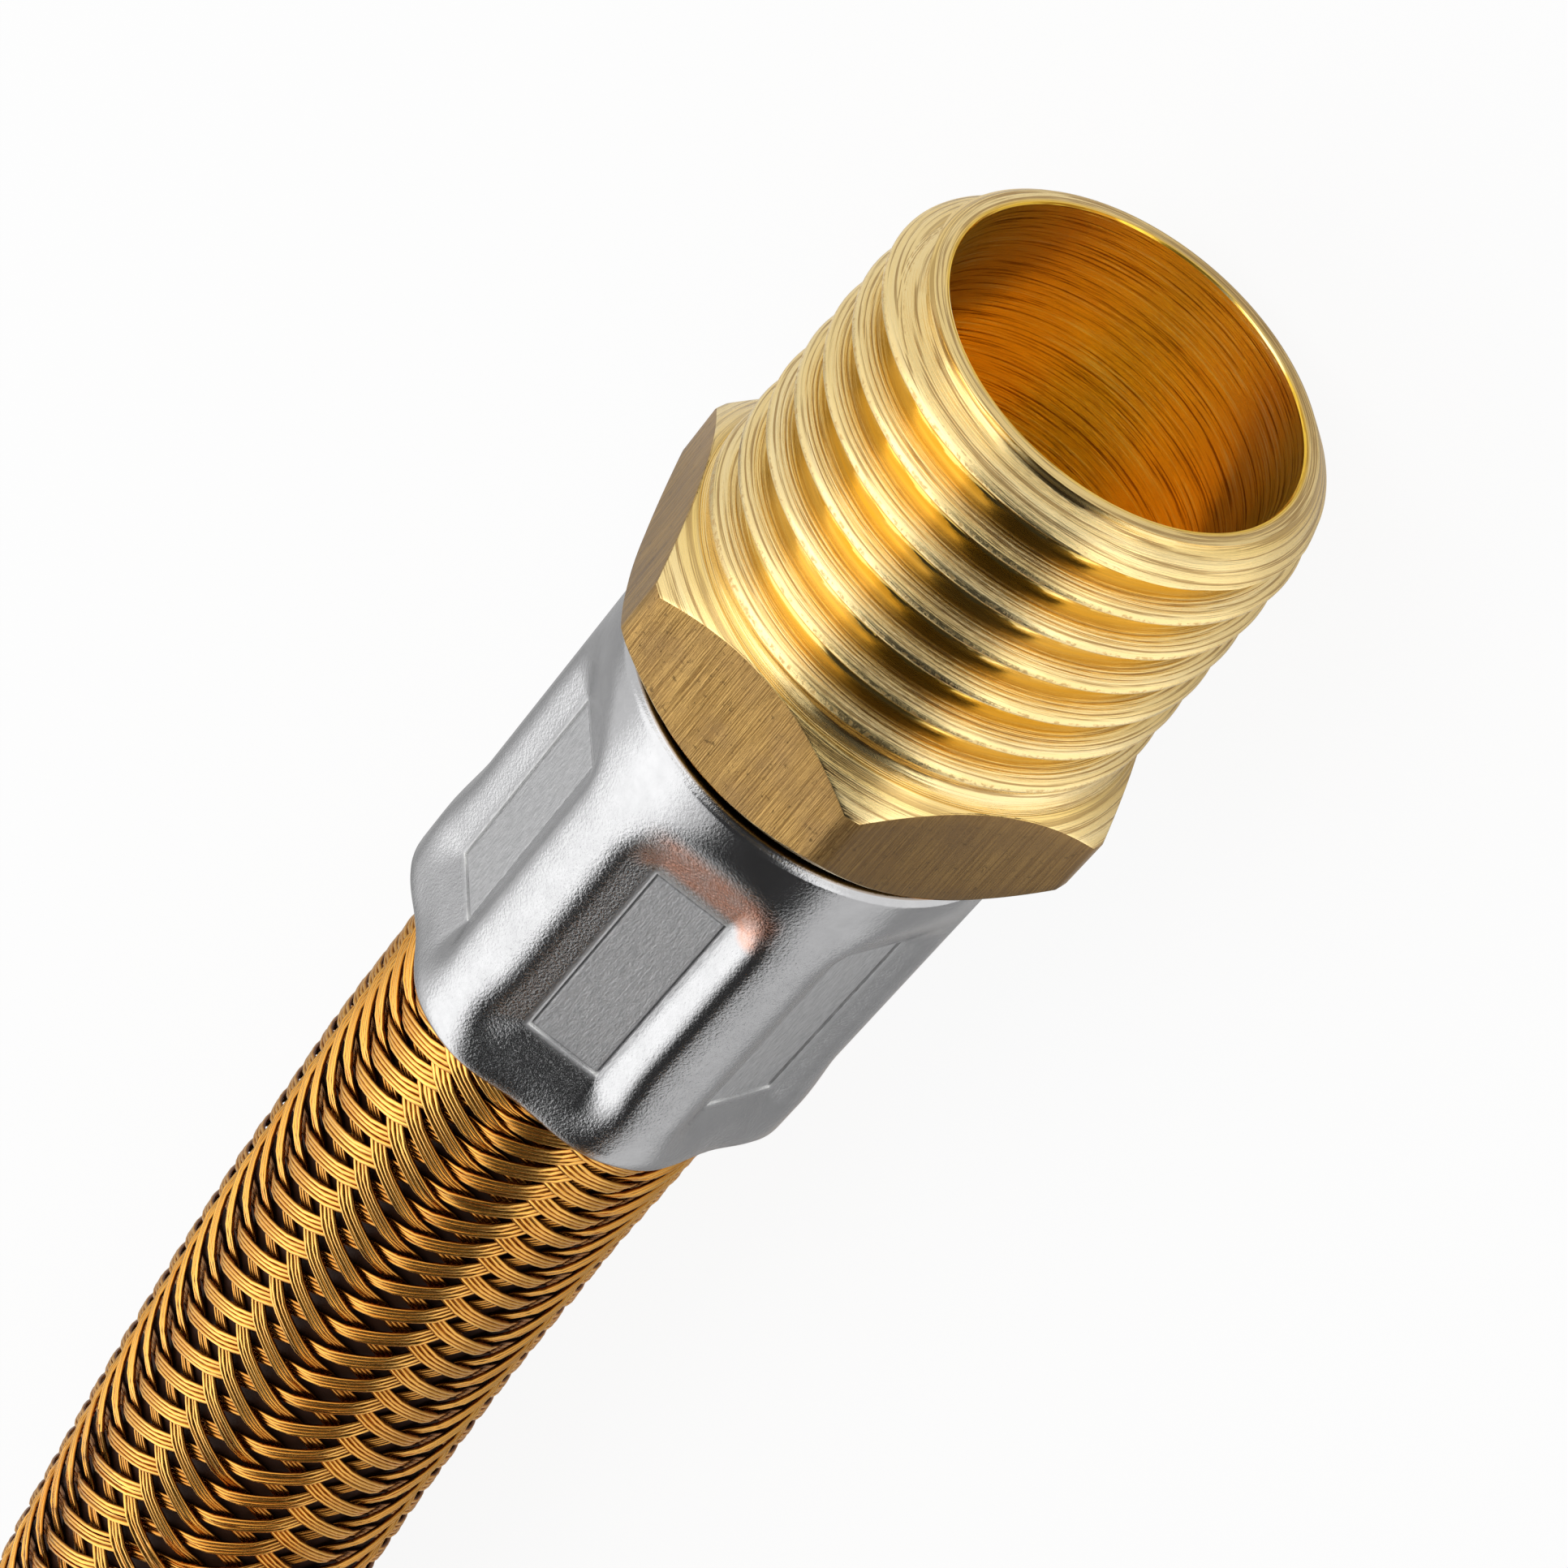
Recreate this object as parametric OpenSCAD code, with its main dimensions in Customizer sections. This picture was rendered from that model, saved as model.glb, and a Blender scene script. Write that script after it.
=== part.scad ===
// Propane regulator hose: a rubber hose under a brass wire braid. One end is
// crimped to a brass fitting with a tapered male thread for the regulator. The
// other is crimped to a brass nipple, on which a plastic handwheel turns to
// screw onto the cylinder valve. The nipple holds a spring-loaded flow check.
// The spare length lies in a coil on the surface that the hose rests on, with a
// nylon tie round it.
// Millimetres. The regulator end points along -X, the cylinder end along +Y.

/* [Hose] */
// Outside diameter over the wire braid
hose_d = 11; // [10.6:0.1:11.4]
// Bore of the rubber core tube
hose_bore = 6.35; // [5.8:0.05:6.6]
// Thickness of the wire braid, two crossing wires deep
braid_t = 0.45; // [0.3:0.05:0.6]
// Width of the coil, measured at the middle of the hose
coil_d = 120; // [112:1:130]
// Space between a turn and the turn that lies on it
turn_gap = 0.6; // [0.5:0.1:1.5]
// Straight length between the coil and the cylinder end
tail_len = 67; // [60:1:90]

/* [Regulator fitting] */
// Length of the tapered male thread
thread_len = 10.2; // [9.4:0.1:12]
// Pitch of the thread, 18 threads to the inch
thread_pitch = 1.411; // [1.2:0.01:1.6]
// Height of the thread from root to crest
thread_depth = 0.9; // [0.6:0.05:1]
// Crest diameter at the open end
thread_tip_d = 13.26; // [13:0.02:13.5]
// Growth of the diameter for each millimetre of length
thread_taper = 0.0625; // [0.04:0.0025:0.08]
// Width of the chamfer from the end face to the first crest
tip_chamfer = 0.85; // [0.5:0.05:0.9]
// Bore at the open end
tip_bore_d = 10.66; // [9.6:0.02:10.8]
// Depth of the bore at the open end
tip_bore_depth = 9.4; // [7:0.1:9.6]
// Distance across the flats of the hexagon
hex_af = 14; // [13.8:0.1:14.4]
// Length of the hexagon with its two chamfers
hex_len = 3.9; // [3.5:0.1:6]
// Diameter across the turned corners of the hexagon
hex_corner_d = 15.9; // [15.6:0.02:16.1]

/* [Crimped joint] */
// Outside diameter of the crimped ferrule
ferrule_d = 13; // [12.8:0.05:13.4]
// Length of the ferrule
ferrule_len = 14.2; // [14:0.1:18]
// Gap between the hexagon and the ferrule
ferrule_gap = 0.6; // [0.1:0.05:0.8]
// Thickness of the ferrule's turned-in front lip
lip_t = 1.2; // [0.8:0.1:1.6]
// Number of pockets that the crimping jaws leave
pockets = 6; // [4:1:6]
// Depth of a pocket below the ferrule's surface
pocket_depth = 0.9; // [0.4:0.05:1]
// Length of a pocket's floor
pocket_len = 7.4; // [5:0.1:8]
// Width of a pocket's floor
pocket_w = 2.3; // [1.5:0.1:2.6]
// Width of the slope round a pocket's floor
pocket_slope = 1.3; // [0.4:0.1:1.6]
// Diameter over the barbs of the stem inside the hose
barb_d = 6.9; // [6.7:0.05:7.2]
// Number of barbs on the stem
barbs = 4; // [3:1:5]
// Bore of the stem
stem_bore_d = 4; // [3:0.1:4.6]
// Diameter of the plain neck that the ferrule's lip grips
neck_d = 7.8; // [7.5:0.1:8.4]

/* [Cylinder nipple] */
// Distance across the flats of the nipple's hexagon
nipple_af = 19; // [18:0.5:22]
// Length of the nipple's hexagon
nipple_hex_len = 8; // [6:0.5:10]
// Diameter of the nipple's round body
nipple_d = 16; // [15.6:0.1:16.4]
// Diameter of the flange that holds the handwheel on
flange_d = 24.8; // [24:0.1:26]
// Thickness of that flange
flange_t = 2.4; // [2:0.1:3.5]
// Length of the nose in front of the flange
nose_len = 20.6; // [20:0.1:21]
// Diameter of the nose's rounded tip
nose_tip_d = 11.6; // [11.2:0.1:12.4]
// Bore of the flow check's chamber
chamber_d = 10; // [9.6:0.1:10.2]

/* [Handwheel] */
// Diameter over the grip
wheel_d = 48; // [46:0.5:52]
// Length of the handwheel
wheel_len = 38.5; // [38:0.5:44]
// Number of hollows in the grip
grips = 12; // [8:1:16]
// Depth of the hollows in the grip
grip_depth = 1.6; // [0.8:0.1:2.4]
// Thickness of the handwheel's rear wall
wheel_wall = 5; // [4:0.1:6]
// Free end play of the handwheel along the nipple
float_len = 1.7; // [1:0.1:2.4]
// Diameter of the plain mouth in front of the inside thread
mouth_d = 34; // [33.8:0.1:35]
// Depth of the plain mouth
mouth_len = 5; // [3:0.1:5.2]
// Crest diameter of the inside thread
socket_d = 28.26; // [28:0.02:28.6]
// Pitch of the inside thread, 5 threads to the inch
socket_pitch = 5.08; // [4.2:0.02:5.4]
// Depth of the inside thread
socket_depth = 2.7; // [2:0.05:3]
// Thickness of the heat-release bushing
bushing_t = 4.4; // [3:0.1:6]

/* [Flow check] */
// Travel of the poppet to its seat
poppet_travel = 2; // [1:0.1:2.2]
// Diameter of the poppet's disc
disc_d = 6; // [5.4:0.1:6.4]
// Diameter of the poppet's guide head
guide_d = 9.5; // [9.2:0.05:9.7]
// Wire diameter of the spring
spring_wire = 0.7; // [0.4:0.05:0.8]
// Number of curls in the spring
spring_curls = 5; // [3:1:6]
// Thickness of the valve seat ring
seat_t = 1.6; // [1.2:0.1:2]
// Thickness of the retaining ring
ring_t = 1.3; // [0.8:0.1:1.6]

/* [Coil tie] */
// Width of the tie's strap
tie_w = 4.8; // [3.6:0.1:7.6]
// Thickness of the tie's strap
tie_t = 1.2; // [0.9:0.1:1.5]

/* [Hidden] */

$fn = 72;
cut = 1;            // how far a cutting tool reaches past what it cuts
loose = 0.3;        // space between pieces that move past each other
seated = 0.02;      // space between pieces that are pressed together

// Regulator fitting, along its own axis from the hexagon's rear face (0) forward (-)
hex_front = -hex_len;
tip_z = hex_front - thread_len;
tip_r = thread_tip_d / 2;
first_crest = tip_chamfer;
thread_steps = 8;
face_r = tip_r - tip_chamfer;
drill_point = 2;
face_step = 0.05;   // from a hexagon's flats in to the turned ring of its end faces

// Crimped joint, along the same axis from the hexagon's rear face (0) to the hose (+)
hose_start = ferrule_gap + lip_t + 2;
hose_end = ferrule_gap + ferrule_len;
stem_end = hose_end - 0.8;
barb_pitch = (stem_end - hose_start) / barbs;
barb_root_r = barb_d / 2 - 0.4;
stem_r = hose_bore / 2;
core_r = hose_d / 2 - braid_t;
pocket_mid = ferrule_gap + 0.556 * ferrule_len;
regulator_turn = 41.8;   // turn of the pockets about the axis, degrees
cylinder_turn = 0;
flare = 0.15;            // how much the ferrule's rear end opens
flare_from = 3.4;        // where the flare starts and is full, before the rear end
flare_to = 1.4;
lip_round = 0.45;
rim_round = 0.6;

// Cylinder nipple, along its axis from its hexagon's rear face (0) to the mouth (-)
nipple_front = -nipple_hex_len;
wheel_back = nipple_front - float_len - loose;
wheel_seat = wheel_back - wheel_wall;
bushing_back = wheel_seat - loose;
bushing_front = bushing_back - bushing_t;
flange_back = bushing_front - loose;
flange_front = flange_back - flange_t;
nose_end = flange_front - nose_len;
wheel_mouth = wheel_back - wheel_len;
thread_start = flange_front - loose - 2.4;
mouth_chamfer = 0.6;
wheel_edge = 1.8;
grip_r = 4;

// Flow check, along the same axis
ring_front = nose_end + 1.8;
ring_back = ring_front + ring_t;
poppet_front = ring_back + loose;
guide_t = 2.8;
seat_bore_r = stem_bore_d / 2 + 0.2;
seat_back = flange_front - 2.8;
seat_front = seat_back - seat_t;
disc_back = seat_front - poppet_travel - loose;
disc_t = 1.7;
poppet_stem_r = 2;
spring_r = (disc_d + chamber_d) / 4;
spring_start = poppet_front + guide_t + spring_wire / 2 + seated;
spring_end = disc_back - spring_wire / 2;

// Where the hose lies. Both ends of the coil run straight for one diameter.
floor_z = hose_d / 2;
axis_z = hex_af / 2;
wheel_z = wheel_d / 2;
coil_r = coil_d / 2;
heading = 9;             // direction in which the hose enters the coil, degrees
lead = hose_d;
turned = 450 - heading;  // how far the coil turns, degrees
climb_from = 222;        // where the hose climbs onto its own first turn, degrees
climb_to = 322;
layer = hose_d + turn_gap;
ring_step = 15;          // 24 rings to the turn
tail_rise = 40;          // how long before the coil's end the rise to the handwheel starts

// The tie goes round both turns, and its strap lifts them off the surface
tie_angle = 2 * ring_step;
tie_slope = 30;          // how far the lift reaches each way, degrees
tie_r = hose_d / 2 + loose + 0.05;
tie_lift = tie_r + tie_t + 0.05 - hose_d / 2;
tie_head = [5, 7, 5.4];  // outwards, along the hose and up

route = [
    [hose_end + hex_len / 2, 0, axis_z],
    [21, 0, 6.9], [25, 0, 6.65], [29, 0.1, 6.35], [33, 0.2, 6.05], [37, 0.4, 5.8],
    [41, 0.65, 5.6], [45, 1, 5.5], [49, 1.45, 5.5], [53, 1.95, 5.5], [58, 2.7, 5.5],
    [64, 3.6, 5.5], [71, 4.7, 5.5], [78, 5.85, 5.5], [86, 7.1, 5.5]
];

route_end = route[len(route) - 1];
ahead = [cos(heading), sin(heading), 0];
coil_start = route_end + lead * ahead;
coil_mid = coil_start + coil_r * [-ahead[1], ahead[0], 0];
arc_len = PI * coil_r * turned / 180;
cylinder_at = [coil_mid[0] + coil_r, coil_mid[1] + tail_len, wheel_z];

function smooth(t) = let(u = min(1, max(0, t))) u * u * (3 - 2 * u);
function unit(v) = v / norm(v);

// Height of the hose at the distance s along the coil
function coil_z(s) =
    let(angle = s / coil_r * 180 / PI)
    floor_z + layer * smooth((angle - climb_from) / (climb_to - climb_from))
    + tie_lift * smooth(1 - abs(angle - tie_angle) / tie_slope)
    + tie_lift * smooth(1 - abs(angle - tie_angle - 360) / tie_slope)
    + (wheel_z - floor_z - layer) * smooth((s - arc_len + tail_rise) / (tail_rise + tail_len - lead));

function coil_point(s) =
    let(angle = heading - 90 + min(s, arc_len) / coil_r * 180 / PI, past = max(0, s - arc_len))
    [coil_mid[0] + coil_r * cos(angle), coil_mid[1] + coil_r * sin(angle) + past, coil_z(s)];

ring_len = PI * coil_r * ring_step / 180;
coil_stations = concat(
    [for (s = [0 : ring_len : arc_len]) s],
    [for (s = [arc_len : lead : arc_len + tail_len - lead - 1]) s],
    [arc_len + tail_len - lead, arc_len + tail_len]
);
coil_path = concat([route_end], [for (s = coil_stations) coil_point(s)]);

// Least space between the coil's turns, measured between the rings' centres
turn_rings = 360 / ring_step - 4;
coil_gap = min([
    for (i = [0 : len(coil_path) - 1])
        for (j = [i + turn_rings : 1 : len(coil_path) - 1])
            norm(coil_path[i] - coil_path[j])
]) - hose_d;
echo(least_gap_of_the_coil_to_itself = coil_gap);

// Direction of the path at ring i, given at both ends
function along(path, i, first, last) =
    i == 0 ? first : i == len(path) - 1 ? last : unit(path[i + 1] - path[i - 1]);

function ring(path, i, r, sides, first, last) =
    let(t = along(path, i, first, last), across = unit(cross([0, 0, 1], t)), over = cross(t, across))
    [for (k = [0 : sides - 1]) let(a = 30 + 360 * k / sides)
        path[i] + r * (cos(a) * across + sin(a) * over)];

// A hose of one bore along a path: rings of points outside, then the same inside
module hose(path, r, bore_r, sides, first, last) {
    rings = len(path);
    inside = rings * sides;
    points = [
        for (radius = [r, bore_r])
            for (i = [0 : rings - 1])
                each ring(path, i, radius, sides, first, last)
    ];
    faces = [
        for (i = [0 : rings - 2])
            for (k = [0 : sides - 1])
                let(n = (k + 1) % sides, a = i * sides + k, b = i * sides + n)
                each [
                    [a, a + sides, b], [b, a + sides, b + sides],
                    [inside + a, inside + b, inside + a + sides],
                    [inside + b, inside + b + sides, inside + a + sides]
                ],
        for (k = [0 : sides - 1])
            let(n = (k + 1) % sides, m = inside - sides)
            each [
                [k, n, inside + k], [n, inside + n, inside + k],
                [m + k, inside + m + k, m + n], [m + n, inside + m + k, inside + m + n]
            ]
    ];
    polyhedron(points, faces, convexity = 6);
}

// Puts a fitting, whose hose side faces +Z, at the regulator end or the cylinder end
module at_regulator() {
    translate([hex_len / 2, 0, axis_z]) rotate([0, 90, 0]) children();
}

module at_cylinder() {
    translate(cylinder_at) rotate([90, 0, 0]) translate([0, 0, -hose_end]) children();
}

// A ring turned about the axis between two distances
module washer(r, bore_r, from, to) {
    rotate_extrude() translate([bore_r, from]) square([r - bore_r, to - from]);
}

// The cut that one crimping jaw makes in a body of radius r: a flat floor with slopes
module jaw(r) {
    deep = pocket_depth;
    flank = pocket_slope * (deep + cut) / deep;
    intersection() {
        translate([0, 0, pocket_mid - pocket_len])
            linear_extrude(2 * pocket_len)
                polygon([
                    [r - deep, -pocket_w / 2], [r + cut, -pocket_w / 2 - flank],
                    [r + cut, pocket_w / 2 + flank], [r - deep, pocket_w / 2]
                ]);
        translate([0, pocket_w * 2, pocket_mid])
            rotate([90, 0, 0])
                linear_extrude(pocket_w * 4)
                    polygon([
                        [r - deep, -pocket_len / 2], [r + cut, -pocket_len / 2 - flank],
                        [r + cut, pocket_len / 2 + flank], [r - deep, pocket_len / 2]
                    ]);
    }
}

module jaws(r, turn) {
    for (k = [0 : pockets - 1])
        rotate([0, 0, turn + 360 * k / pockets]) jaw(r);
}

// A rod of radius r between two distances, pressed by the crimping jaws
module pressed_rod(r, from, to, turn) {
    difference() {
        translate([0, 0, from]) cylinder(r = r, h = to - from);
        jaws(r, turn);
    }
}

module ferrule(turn) {
    r = ferrule_d / 2;
    out = r + flare;
    difference() {
        rotate_extrude()
            polygon([
                [neck_d / 2 + seated, ferrule_gap], [r - lip_round, ferrule_gap],
                [r - lip_round * 0.3, ferrule_gap + lip_round * 0.3], [r, ferrule_gap + lip_round],
                [r, hose_end - flare_from], [out, hose_end - flare_to],
                [out - rim_round / 3, hose_end - rim_round], [out - rim_round, hose_end], [neck_d / 2 + seated, hose_end]
            ]);
        jaws(r, turn);
        pressed_rod(hose_d / 2, ferrule_gap + lip_t, hose_end + cut, turn);
    }
}

// The hose's two layers where they are crimped between ferrule and stem
module braid_end(turn) {
    difference() {
        pressed_rod(hose_d / 2 - seated, hose_start, hose_end, turn);
        pressed_rod(core_r, hose_start - cut, hose_end + cut, turn);
    }
}

module core_end(turn) {
    difference() {
        pressed_rod(core_r - seated, hose_start, hose_end, turn);
        translate([0, 0, hose_start - cut])
            cylinder(r = barb_d / 2 + seated, h = hose_end - hose_start + 2 * cut);
    }
}

// The barbed stem behind a fitting's hexagon, as a turned outline
function stem_outline() = concat(
    [[neck_d / 2, 0], [neck_d / 2, hose_start - 0.8], [barb_root_r, hose_start - 0.4]],
    [for (k = [0 : barbs - 1])
        each [
            [barb_root_r, hose_start + k * barb_pitch + 0.4],
            [barb_d / 2, hose_start + k * barb_pitch + 0.4],
            [barb_d / 2, hose_start + k * barb_pitch + 0.9],
            [barb_root_r, hose_start + (k + 1) * barb_pitch]
        ]],
    [[stem_bore_d / 2, stem_end]]
);

// A hexagon whose corners are turned to a round chamfer at both ends
module nut_hexagon(af, corner_d, from, to) {
    corner_r = corner_d / 2;
    step = corner_r - af / 2 + face_step;
    intersection() {
        translate([0, 0, from]) rotate([0, 0, 30]) cylinder(r = af / sqrt(3), h = to - from, $fn = 6);
        rotate_extrude()
            polygon([
                [0, from], [corner_r - step, from], [corner_r, from + step],
                [corner_r, to - step], [corner_r - step, to], [0, to]
            ]);
    }
}

// Radius of the tapered thread at the distance s from the open end
function thread_r(s) =
    tip_r + s * thread_taper / 2
    - thread_depth * (1 - cos(360 * (s - first_crest) / thread_pitch)) / 2;

module male_fitting() {
    samples = floor((thread_len - first_crest) / thread_pitch * thread_steps);
    color("goldenrod") at_regulator() {
        difference() {
            union() {
                nut_hexagon(hex_af, hex_corner_d, hex_front, 0);
                rotate_extrude()
                    polygon(concat(
                        [[0, tip_z], [face_r, tip_z]],
                        [for (k = [0 : samples])
                            let(s = first_crest + k * thread_pitch / thread_steps)
                            [thread_r(s), tip_z + s]],
                        [[thread_r(thread_len), hex_front], [neck_d / 2, hex_front + cut]],
                        stem_outline(),
                        [[0, stem_end]]
                    ));
            }
            translate([0, 0, tip_z - cut]) cylinder(d = tip_bore_d, h = tip_bore_depth + cut);
            translate([0, 0, tip_z + tip_bore_depth])
                cylinder(d1 = tip_bore_d, d2 = stem_bore_d, h = drill_point);
            translate([0, 0, tip_z]) cylinder(d = stem_bore_d, h = stem_end - tip_z + cut);
        }
    }
}

module regulator_ferrule() {
    color("silver") at_regulator() ferrule(regulator_turn);
}

module regulator_core_end() {
    color("#2a211c") at_regulator() core_end(regulator_turn);
}

module regulator_braid_end() {
    color("#b98a3c") at_regulator() braid_end(regulator_turn);
}

module hose_core_run() {
    color("#2a211c") hose(route, core_r - seated, stem_r, 12, [1, 0, 0], ahead);
}

module hose_braid_run() {
    color("#b98a3c") hose(route, hose_d / 2, core_r, 12, [1, 0, 0], ahead);
}

module hose_core_coil() {
    color("#2a211c") hose(coil_path, core_r - seated, stem_r, 6, ahead, [0, 1, 0]);
}

module hose_braid_coil() {
    color("#b98a3c") hose(coil_path, hose_d / 2, core_r, 6, ahead, [0, 1, 0]);
}

// Two round ends of radius r, one above the other, and the straight sides between them
module round_ended(r, low, high) {
    for (z = [low, high]) translate([0, z]) circle(r = r);
    translate([-r, low]) square([2 * r, high - low]);
}

module coil_tie() {
    low = coil_point(coil_r * tie_angle * PI / 180);
    high = coil_point(coil_r * (tie_angle + 360) * PI / 180)[2];
    edge = tie_r + tie_t;
    color("#1c1c1c")
        translate([low[0], low[1], 0]) rotate([0, 0, heading - 90 + tie_angle]) {
            rotate([90, 0, 0]) translate([0, 0, -tie_w / 2]) linear_extrude(tie_w)
                difference() {
                    round_ended(edge, low[2], high);
                    round_ended(tie_r, low[2], high);
                }
            translate([edge - tie_t / 2, -tie_head[1] / 2, (low[2] + high - tie_head[2]) / 2])
                cube(tie_head);
        }
}

module cylinder_core_end() {
    color("#2a211c") at_cylinder() core_end(cylinder_turn);
}

module cylinder_braid_end() {
    color("#b98a3c") at_cylinder() braid_end(cylinder_turn);
}

module cylinder_ferrule() {
    color("silver") at_cylinder() ferrule(cylinder_turn);
}

module cylinder_nipple() {
    body_r = nipple_d / 2;
    tip = nose_tip_d / 2;
    shoulder = body_r - tip;
    color("goldenrod") at_cylinder() {
        difference() {
            union() {
                nut_hexagon(nipple_af, nipple_af * 1.1, nipple_front, 0);
                rotate_extrude()
                    polygon(concat(
                        [
                            [0, nose_end], [tip - 0.5, nose_end], [tip, nose_end + 0.3],
                            [tip + shoulder * 0.6, nose_end + shoulder],
                            [body_r, nose_end + shoulder * 2.4],
                            [body_r, flange_front], [flange_d / 2 - 0.5, flange_front],
                            [flange_d / 2, flange_front + 0.5], [flange_d / 2, flange_back],
                            [body_r, flange_back], [body_r, nipple_front + cut]
                        ],
                        stem_outline(),
                        [[0, stem_end]]
                    ));
            }
            translate([0, 0, nose_end - cut]) cylinder(d = chamber_d, h = seat_back - nose_end + cut);
            translate([0, 0, nose_end]) cylinder(d = stem_bore_d, h = stem_end - nose_end + cut);
        }
    }
}

module thermal_bushing() {
    color("#222222") at_cylinder()
        washer(flange_d / 2 + 0.2, nipple_d / 2 + loose, bushing_front, bushing_back);
}

// The turned outline of the inside thread, crest to crest, from the mouth inwards
function socket_outline(from, to) =
    let(flat = socket_pitch * 0.37, side = socket_depth * tan(14.5))
    let(turns = floor((to - from - flat) / socket_pitch))
    concat(
        [for (k = [0 : turns - 1])
            let(z = from + k * socket_pitch)
            each [
                [socket_d / 2, z], [socket_d / 2, z + flat],
                [socket_d / 2 + socket_depth, z + flat + side],
                [socket_d / 2 + socket_depth, z + socket_pitch - side]
            ]],
        [[socket_d / 2, from + turns * socket_pitch], [socket_d / 2, to]]
    );

module handwheel() {
    r = wheel_d / 2;
    seat_r = flange_d / 2 + 0.2 + loose;
    color("darkgreen") at_cylinder() {
        difference() {
            rotate_extrude()
                polygon(concat(
                    [
                        [nipple_d / 2 + loose, wheel_back], [r - wheel_edge, wheel_back],
                        [r, wheel_back - wheel_edge], [r, wheel_mouth + wheel_edge],
                        [r - wheel_edge, wheel_mouth], [mouth_d / 2 + mouth_chamfer, wheel_mouth],
                        [mouth_d / 2, wheel_mouth + mouth_chamfer],
                        [mouth_d / 2, wheel_mouth + mouth_len]
                    ],
                    socket_outline(wheel_mouth + mouth_len, thread_start),
                    [[seat_r, thread_start], [seat_r, wheel_seat], [nipple_d / 2 + loose, wheel_seat]]
                ));
            for (k = [0 : grips - 1])
                rotate([0, 0, 360 * (k + 0.5) / grips])
                    translate([r + grip_r - grip_depth, 0, wheel_mouth - cut])
                        cylinder(r = grip_r, h = wheel_len + 2 * cut);
        }
    }
}

module flow_seat() {
    color("gold") at_cylinder()
        washer(chamber_d / 2 - seated, seat_bore_r, seat_front, seat_back - seated);
}

module flow_poppet() {
    color("white") at_cylinder() {
        difference() {
            translate([0, 0, poppet_front]) cylinder(d = guide_d, h = guide_t);
            for (k = [0 : 2])
                rotate([0, 0, 120 * k])
                    translate([guide_d / 2 - 1.1, -guide_d / 2, poppet_front - cut])
                        cube([guide_d, guide_d, guide_t + 2 * cut]);
        }
        translate([0, 0, poppet_front + guide_t / 2])
            cylinder(r = poppet_stem_r, h = disc_back - poppet_front - guide_t / 2);
        translate([0, 0, disc_back - disc_t]) cylinder(d = disc_d, h = disc_t);
    }
}

// A helix of wire, as rings of six points along it, closed at both ends
module flow_spring() {
    per_curl = 8;
    sides = 6;
    steps = spring_curls * per_curl;
    rise = (spring_end - spring_start) / steps;
    points = [
        for (i = [0 : steps])
            for (k = [0 : sides - 1])
                let(turn = 360 * i / per_curl, a = 360 * k / sides)
                let(reach = spring_r + spring_wire / 2 * cos(a))
                [reach * cos(turn), reach * sin(turn), spring_start + i * rise + spring_wire / 2 * sin(a)]
    ];
    faces = concat(
        [for (i = [0 : steps - 1])
            for (k = [0 : sides - 1])
                let(n = (k + 1) % sides, a = i * sides + k, b = i * sides + n)
                each [[a, b, a + sides], [b, b + sides, a + sides]]],
        [for (k = [1 : sides - 2]) [0, k + 1, k]],
        [for (k = [1 : sides - 2]) [steps * sides, steps * sides + k, steps * sides + k + 1]]
    );
    color("lightsteelblue") at_cylinder() polyhedron(points, faces, convexity = 8);
}

module flow_retainer() {
    color("silver") at_cylinder()
        washer(chamber_d / 2 - seated, chamber_d / 2 - 1.8, ring_front, ring_back);
}

male_fitting();
regulator_ferrule();
regulator_core_end();
regulator_braid_end();
hose_core_run();
hose_braid_run();
hose_core_coil();
hose_braid_coil();
coil_tie();
cylinder_core_end();
cylinder_braid_end();
cylinder_ferrule();
cylinder_nipple();
thermal_bushing();
handwheel();
flow_seat();
flow_poppet();
flow_spring();
flow_retainer();
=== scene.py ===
import math

import bmesh
import bpy
import numpy as np
from mathutils import Matrix, Vector


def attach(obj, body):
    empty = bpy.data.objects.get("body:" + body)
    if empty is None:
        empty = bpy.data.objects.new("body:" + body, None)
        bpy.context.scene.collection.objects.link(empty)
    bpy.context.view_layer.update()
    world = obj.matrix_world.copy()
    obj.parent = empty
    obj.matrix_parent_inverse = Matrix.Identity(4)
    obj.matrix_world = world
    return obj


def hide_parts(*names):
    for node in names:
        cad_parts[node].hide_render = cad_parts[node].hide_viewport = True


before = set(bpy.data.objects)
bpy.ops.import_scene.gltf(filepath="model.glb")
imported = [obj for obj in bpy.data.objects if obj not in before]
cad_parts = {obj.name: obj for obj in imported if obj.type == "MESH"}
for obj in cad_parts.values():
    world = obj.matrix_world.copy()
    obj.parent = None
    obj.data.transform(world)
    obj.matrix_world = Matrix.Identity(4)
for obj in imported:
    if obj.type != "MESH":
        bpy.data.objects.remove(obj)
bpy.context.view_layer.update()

# ---- Camera ----
# A long lens close to the regulator end, above its open mouth and rolled so that the fitting
# points to the upper right. The hose runs out of the frame at the lower left.
eye = Vector((-0.08874, 0.02600, 0.11246))
to_the_right = Vector((-0.49116, 0.63446, -0.59684))
upwards = Vector((-0.57037, -0.75212, -0.33014))
camera_data = bpy.data.cameras.new("camera")
camera_data.sensor_width = 36
camera_data.lens = 119.09
camera_data.clip_start = 0.01
camera = bpy.data.objects.new("camera", camera_data)
bpy.context.scene.collection.objects.link(camera)
backwards = to_the_right.cross(upwards)
turned = Matrix((to_the_right, upwards, backwards)).transposed()
camera.matrix_world = Matrix.Translation(eye) @ turned.to_4x4()
bpy.context.scene.camera = camera

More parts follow.
